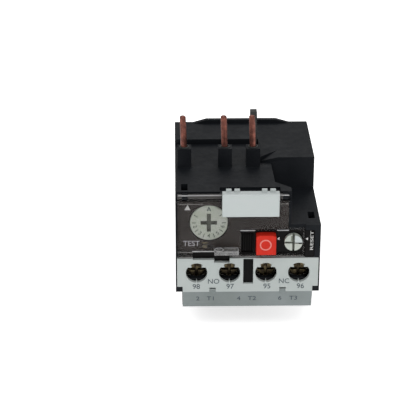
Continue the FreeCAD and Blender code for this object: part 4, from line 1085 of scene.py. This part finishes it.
@dataclass
class Buttons:
    """The stop button, the reset dial and its plunger, the test slide, the trip flag and their springs.

    The ring on the stop button is its middle's X and height, its radius and its line's width. The reset
    dial's notch and slot mouth are their corners, right of and above the dial's axis.
    """

    wire: float = 0.25
    turns: float = 5.0
    steps: int = 28
    closed: float = 0.12
    raised: float = 0.7
    slot_half: float = 0.4
    slot_depths: Pair = (0.2, 1.1)
    ring: tuple[float, float, float, float] = (5.35, 32.2, 1.85, 0.42)
    notch: Outline = ((2.65, 0.34), (1.4, 0.34), (1.6, -0.42), (2.65, -0.42))
    slot_mouth_shade: Outline = ((-0.36, 0.5), (-0.36, 2.4), (-0.8, 2.3), (-0.8, 0.6))

    def build(self) -> None:
        """Build every button and spring."""
        soften("stop_button", "stop_cap", "stop", Finish.RED, 0.2)
        Printing("stop_mark", "stop", front_of("stop_button")).ring(*self.ring).finish(Finish.PINK_INK)
        self.reset()
        soften("reset_plunger", "reset_stem", "reset", Finish.NATURAL, 0.1)
        soften("test_slide", "test_bar", "test", Finish.TAN, 0.08)
        soften("trip_flag", "flag_plate", "flag", Finish.FLAG, 0.08)
        self.spring("stop_spring", "y")
        self.spring("reset_spring", "y")
        self.spring("test_spring", "x")

    def reset(self) -> None:
        """The reset dial with a painted highlight on its raised quarter, and painted shade in its slot, in
        the notch that points from its rim and at the mouth of its slot.
        """
        x, _, z = middle("reset_plunger")
        front = front_of("reset_dial")
        face = front + self.raised
        shallow, deep = self.slot_depths

        def in_slot(m: np.ndarray) -> np.ndarray:
            """Which points lie in the upright arm of the cross, painted darker as shade."""
            depth = m[:, 1] - face
            return (depth > shallow) & (depth < deep) & (np.abs(m[:, 0] - x) < self.slot_half)

        # painted shade: the upright arm of the slot takes the darker dial finish
        slot_shade = (Finish.DIAL_RECESS, in_slot)
        # painted highlight: the raised quarter's front faces take the lighter marker white, standing for the
        # light they catch
        quarter = (Finish.MARKER, lambda m: m[:, 1] < front + 0.05)
        soften("reset_dial", "reset_knob_cap", "reset_knob", Finish.RESET, 0.12, slot_shade, quarter)
        # painted shade: a near-black sheet in the notch and a dark olive sheet at the slot's mouth
        for name, outline, finish in (
            ("reset_notch", self.notch, Finish.HOLE), ("reset_slot_mouth", self.slot_mouth_shade, Finish.OLIVE_INK)
        ):
            mark = Printing(name, "reset_knob", face, 0.02)
            mark.shape([(x + right, z + up) for right, up in outline]).finish(finish)

    def spring(self, node: str, axis: str) -> None:
        """A wound spring in a node's place: a circle round the axis that advances evenly, with closed ends.

        Args:
            node: the node that it stands for.
            axis: the direction that it works along.
        """
        low, high = corners(node)
        centre = (low + high) / 2
        along = "xyz".index(axis)
        first, second = (i for i in range(3) if i != along)
        radius = (high[first] - low[first]) / 2 - self.wire
        run = high[along] - low[along]
        count = int(self.turns * self.steps)
        share = np.linspace(0, 1, count)
        angle = share * self.turns * 2 * math.pi
        travel = np.clip((share - self.closed) / (1 - 2 * self.closed), 0, 1)
        outward = np.zeros((count, 3))
        outward[:, first], outward[:, second] = np.cos(angle), np.sin(angle)
        path = centre + outward * radius
        path[:, along] = low[along] + self.wire + travel * (run - 2 * self.wire)
        forward = np.zeros((count, 3))
        forward[:, along] = 1
        behaviour = frame["record"]["behaviour"]
        body = next(b for b, nodes in behaviour["bodies"].items() if node in nodes)
        piece = put(f"{node}_coil", tube(path, outward, forward, self.wire), body, Finish.STEEL, [node])
        anchor = centre.copy()
        anchor[along] = high[along]
        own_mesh(piece)


@dataclass
class TerminalCover:
    """The white cover over the auxiliary terminals, its marks, and its leaning lower strip painted darker as
    shade.
    """

    tongues: Pair = (-11.0, 11.0)
    tongue_half: float = 1.0
    tongue_heights: Pair = (14.7, 15.9)
    bend: float = 15.2
    slope: float = 2.4 / 6.5
    numbers: tuple[tuple[str, float], ...] = (("98", -16.1), ("97", -5.5), ("95", 6.1), ("96", 16.6))
    contacts: tuple[tuple[str, float], ...] = (("NO", -10.7), ("NC", 11.4))
    loads: tuple[tuple[str, float], ...] = (
        ("2", -15.6), ("T", -12.1), ("1", -10.7), ("4", -2.7), ("T2", 1.5), ("6", 10.3), ("T3", 14.6),
    )

    def build(self) -> None:
        """Build the cover, its snap tongues and its marks."""
        # painted shade: faces below the bend take the darker strip finish, standing for the shade on the
        # leaning strip
        strip = (Finish.STRIP, lambda middles: middles[:, 2] < self.bend)
        soften("terminal_cover", "terminal_plate", "casing", Finish.WHITE, 0.12, strip)
        self.snap_tongues()
        face = front_of("terminal_cover")
        ink = Printing("terminal_numbers", "casing", face)
        for text, x in self.numbers:
            ink.word(text, x, 17.0, 1.75)
        for text, x in self.contacts:
            ink.word(text, x, 18.8, 1.7)
        ink.finish(Finish.DARK_INK)
        ink = Printing("strip_numbers", "casing", face, 0.03, self.slope, self.bend)
        for text, x in self.loads:
            ink.word(text, x, 12.2, 1.75)
        ink.finish(Finish.DARK_INK)

    def snap_tongues(self) -> None:
        """The raised tongue under each snap slot, in the strip's darker painted-shade finish."""
        near, far = front_of("terminal_cover") - 0.1, front_of("terminal_cover") + 0.9
        half, (low, high) = self.tongue_half, self.tongue_heights
        parts = [rounded_block((x - half, near, low), (x + half, far, high), 0.1, 3) for x in self.tongues]
        # painted shade: the tongues take the darker strip finish
        put("snap_tongues", join(parts), "casing", Finish.STRIP)


@dataclass(frozen=True)
class Screw:
    """A terminal screw with crossed slots and a real thread."""

    head: float
    thick: float
    shank: float
    pitch: float = 0.5
    thread_depth: float = 0.16
    slot_half: float = 0.42
    slot_deep: float = 0.85
    crown: float = 0.18

    def mesh(self, tip: Point, run: float) -> Mesh:
        """Its shape: a polar height field for the slotted top, a rounded rim, and a thread.

        The top's depth is the slots' depth where either |x| or |y| is under half the slot's width, eased at
        the slot's walls and faded out towards the rim. The thread's radius is a triangle wave of the
        distance along the shank less the turn, so that its crest winds round it.

        Args:
            tip: the middle of the head's face.
            run: whole length of the screw.

        Returns:
            Its points and faces.
        """
        angle = np.linspace(0, 2 * math.pi, 96, endpoint=False)
        radius = np.linspace(0.02, 0.92, 26)[:, None] * self.head
        share = radius / self.head
        near = np.minimum(np.abs(radius * np.cos(angle)), np.abs(radius * np.sin(angle)))
        wall = 1 - np.clip((near - self.slot_half + 0.06) / 0.12, 0, 1)
        fade = 1 - np.clip((share - 0.78) / 0.08, 0, 1)
        top = self.crown * share**2 + self.slot_deep * wall * fade
        edge = np.array([(0.965, 0.2), (0.99, 0.3), (1.0, 0.5), (1.0, self.thick - 0.15), (0.97, self.thick)])
        along = np.linspace(self.thick, run, 150)[:, None]
        phase = ((along - self.thick) / self.pitch - angle / (2 * math.pi)) % 1
        wave = 1 - np.abs(2 * phase - 1)
        taper = np.clip((run - along) / 0.5, 0.25, 1)
        thread = (self.shank - self.thread_depth * (1 - wave)) * taper
        thread[0] = self.shank - self.thread_depth
        around = np.ones_like(angle)
        out = np.concatenate([radius * around, edge[:, :1] * self.head * around, thread])
        deep = np.concatenate([top, edge[:, 1:] * around, along * around])
        points = np.stack([out * np.cos(angle), deep, out * np.sin(angle)], axis=2)
        return closed_grid(points + np.array(tip))


@dataclass
class Screws:
    """Both rows of terminal screws and their clamping washers."""

    aux: Screw = Screw(2.85, 2.0, 1.4)
    aux_places: tuple[float, ...] = (-16.0, -5.7, 5.7, 16.0)
    aux_height: float = 21.8
    load: Screw = Screw(3.1, 2.4, 1.6)
    load_places: tuple[float, ...] = (-13.0, 0.0, 13.0)
    load_height: float = 5.6

    def build(self) -> None:
        """Build both rows of screws and finish their washers."""
        self.row("aux_screws", self.aux, self.aux_places, self.aux_height)
        self.row("load_screws", self.load, self.load_places, self.load_height)
        soften("aux_clamps", "aux_washers", "casing", Finish.PLATED, 0.12)
        soften("load_clamps", "load_washers", "casing", Finish.PLATED, 0.12)

    def row(self, node: str, screw: Screw, places: Sequence[float], height: float) -> None:
        """One row of equal screws in a node's place.

        Args:
            node: the node that they stand for.
            screw: the screw to repeat.
            places: X of each screw.
            height: the height of their axes.
        """
        low, high = corners(node)
        parts = [screw.mesh((x, low[1], height), high[1] - low[1]) for x in places]
        put(f"{node}_row", join(parts), "casing", Finish.SCREW, [node], 50)


@dataclass
class PowerPath:
    """The copper pins and straps, the heaters round their bimetals, and the load terminals."""

    wire: float = 0.42
    turns: int = 8
    steps: int = 48
    corner: float = 0.5
    lean: float = 0.035
    shift: float = 0.12
    tip: float = 0.5
    tip_share: float = 0.975

    def build(self) -> None:
        """Build the pins and windings and finish the rest."""
        for pole in POLES:
            self.pin(pole)
            self.winding(pole)
            dress(Finish.BIMETAL, f"bimetal_strip_{pole}")
            dress(Finish.COPPER, f"line_strap_{pole}")
            dress(Finish.PLATED, f"load_terminal_{pole}")
        dress(Finish.INNER, "pole_carrier")

    def pin(self, pole: int) -> None:
        """One pin: a square root, and a round stem that leans a little, with a fine step and a domed tip.

        Args:
            pole: which pole it belongs to.
        """
        node = f"line_pin_{pole}"
        low, high = corners(node)
        x, y, start, radius = free_pin(pole)
        top, tip, worn = high[2], self.tip, radius * self.tip_share
        turn = np.linspace(0, math.pi / 2, 7)
        dome = [(worn - tip * (1 - math.cos(a)), top - tip + tip * math.sin(a)) for a in turn]
        profile = [(0.02, start - 0.3), (radius, start - 0.3), (radius, top - 2.7), (worn, top - 2.55)]
        stem, faces = lathe(profile + dome + [(0.02, top)], (x, y, 0), "z", 40)
        stem[:, 0] -= self.shift + self.lean * np.maximum(stem[:, 2] - start, 0)
        root = rounded_block((low[0], low[1], low[2]), (high[0], high[1], start), 0.12, 2)
        put(f"pin_{pole}", join([root, (stem, faces)]), "casing", Finish.COPPER, [node])

    def winding(self, pole: int) -> None:
        """The heater wire: a flattened loop, |x/a|^4 + |y/b|^4 = 1, that climbs evenly round its bimetal.

        Args:
            pole: which pole it belongs to.
        """
        node = f"heater_winding_{pole}"
        low, high = corners(node)
        centre, half = (low + high) / 2, (high - low) / 2 - self.wire
        share = np.linspace(0, 1, self.turns * self.steps)
        angle = share * self.turns * 2 * math.pi
        x, y = (
            reach * np.sign(wave) * np.abs(wave) ** self.corner
            for reach, wave in ((half[0], np.cos(angle)), (half[1], np.sin(angle)))
        )
        z = low[2] + self.wire + share * (high[2] - low[2] - 2 * self.wire)
        path = np.stack([centre[0] + x, centre[1] + y, z], axis=1)
        way = np.gradient(path, axis=0)
        way /= np.linalg.norm(way, axis=1)[:, None]
        lift = np.array([0, 0, 1.0]) - way * way[:, 2:]
        lift /= np.linalg.norm(lift, axis=1)[:, None]
        wire = tube(path, np.cross(way, lift), lift, self.wire, 8)
        put(f"winding_{pole}", wire, f"bimetal_{pole}", Finish.HEATER, [node])


class Mechanism:
    """The inner mouldings, the trip slide, the rocker and the contacts."""

    def build(self) -> None:
        """Finish every inner piece."""
        dress(Finish.INNER, "mechanism_base")
        dress(Finish.SLIDE, "trip_slide", "trip_rocker")
        dress(Finish.BIMETAL, "compensating_strip")
        dress(Finish.STEEL, "rocker_pin")
        dress(Finish.SILVER, "contact_bridge_nc", "contact_bridge_no")
        dress(Finish.PLATED, *(f"aux_terminal_{mark}" for mark in (95, 96, 97, 98)))


# ---------------------------------------------------------------- studio


@dataclass
class Lamp:
    """A square soft lamp that faces a point."""

    name: str
    place: Point
    size: float
    power: float
    aim: Point = (0, 0, 0.03)

    def build(self) -> None:
        """Hang the lamp."""
        light = bpy.data.lights.new(self.name, "AREA")
        light.shape, light.size, light.energy = "SQUARE", self.size, self.power
        lamp = bpy.data.objects.new(self.name, light)
        bpy.context.scene.collection.objects.link(lamp)
        lamp.location = self.place
        way = Vector(self.aim) - Vector(self.place)
        lamp.rotation_euler = way.to_track_quat("-Z", "Y").to_euler()


@dataclass
class Studio:
    """The pale floor, the soft light and the camera. Its lengths are metres and its angles degrees."""

    floor_half: float = 3.0
    lens_mm: float = 135.3
    sensor_mm: float = 36.0
    place: Point = (-0.02274, -0.45996, 0.24195)
    pitch: float = 24.54
    yaw: float = 1.278
    roll: float = 0.142
    sky: float = 0.30
    glow: float = 0.7
    lamps: tuple[Lamp, ...] = (
        Lamp("key", (-0.25, -0.35, 0.75), 0.5, 3.0),
        Lamp("fill", (0.45, -0.55, 0.45), 0.6, 1.7),
        Lamp("back", (0.1, 0.6, 0.7), 0.6, 2.2),
    )

    def build(self) -> None:
        """Set everything round the relay."""
        self.floor()
        self.light()
        self.camera()

    def floor(self) -> None:
        """Lay the floor, a near-white paper that glows weakly."""
        h = self.floor_half
        data = bpy.data.meshes.new("floor")
        data.from_pydata([(-h, -h, 0), (h, -h, 0), (h, h, 0), (-h, h, 0)], [], [(0, 1, 2, 3)])
        floor = bpy.data.objects.new("floor", data)
        bpy.context.scene.collection.objects.link(floor)
        shader = Shader("floor_paper")
        tone = shader.between(shader.noise(300.0, 2), 0.3, 0.7)
        shader.feed("Base Color", shader.blend(tone, (0.93, 0.93, 0.93), (0.95, 0.95, 0.95)))
        shader.feed("Roughness", 0.9)
        shader.feed("Specular IOR Level", 0.1)
        shader.feed("Emission Color", (1, 1, 1, 1))
        shader.feed("Emission Strength", self.glow)
        data.materials.append(shader.material)

    def light(self) -> None:
        """Hang the lamps and light the sky evenly, with tones shown as they are."""
        bpy.context.scene.view_settings.view_transform = "Standard"
        world = bpy.data.worlds.new("sky")
        world.use_nodes = True
        back = world.node_tree.nodes["Background"]
        back.inputs["Color"].default_value = (1, 1, 1, 1)
        back.inputs["Strength"].default_value = self.sky
        bpy.context.scene.world = world
        for lamp in self.lamps:
            lamp.build()

    def camera(self) -> None:
        """Set the camera up by its place, pitch, yaw and roll."""
        data = bpy.data.cameras.new("camera")
        data.lens, data.sensor_width = self.lens_mm, self.sensor_mm
        data.clip_start, data.clip_end = 0.01, 50
        camera = bpy.data.objects.new("camera", data)
        bpy.context.scene.collection.objects.link(camera)
        turn = Matrix.Rotation(math.radians(-self.yaw), 4, "Z")
        tilt = Matrix.Rotation(math.radians(90 - self.pitch), 4, "X")
        lean = Matrix.Rotation(math.radians(self.roll), 4, "Z")
        camera.matrix_world = Matrix.Translation(self.place) @ turn @ tilt @ lean
        bpy.context.scene.camera = camera


def main() -> None:
    """Build every sub-assembly and the studio."""
    logging.basicConfig(level=logging.INFO, format="%(name)s %(message)s")
    for part in (
        Casing(), FrontPanel(), ClearLid(), SettingDial(), Buttons(), TerminalCover(), Screws(), PowerPath(),
        Mechanism(), Studio(),
    ):
        part.build()
        LOG.info("%s done", type(part).__name__)


if __name__ == "__main__":
    main()
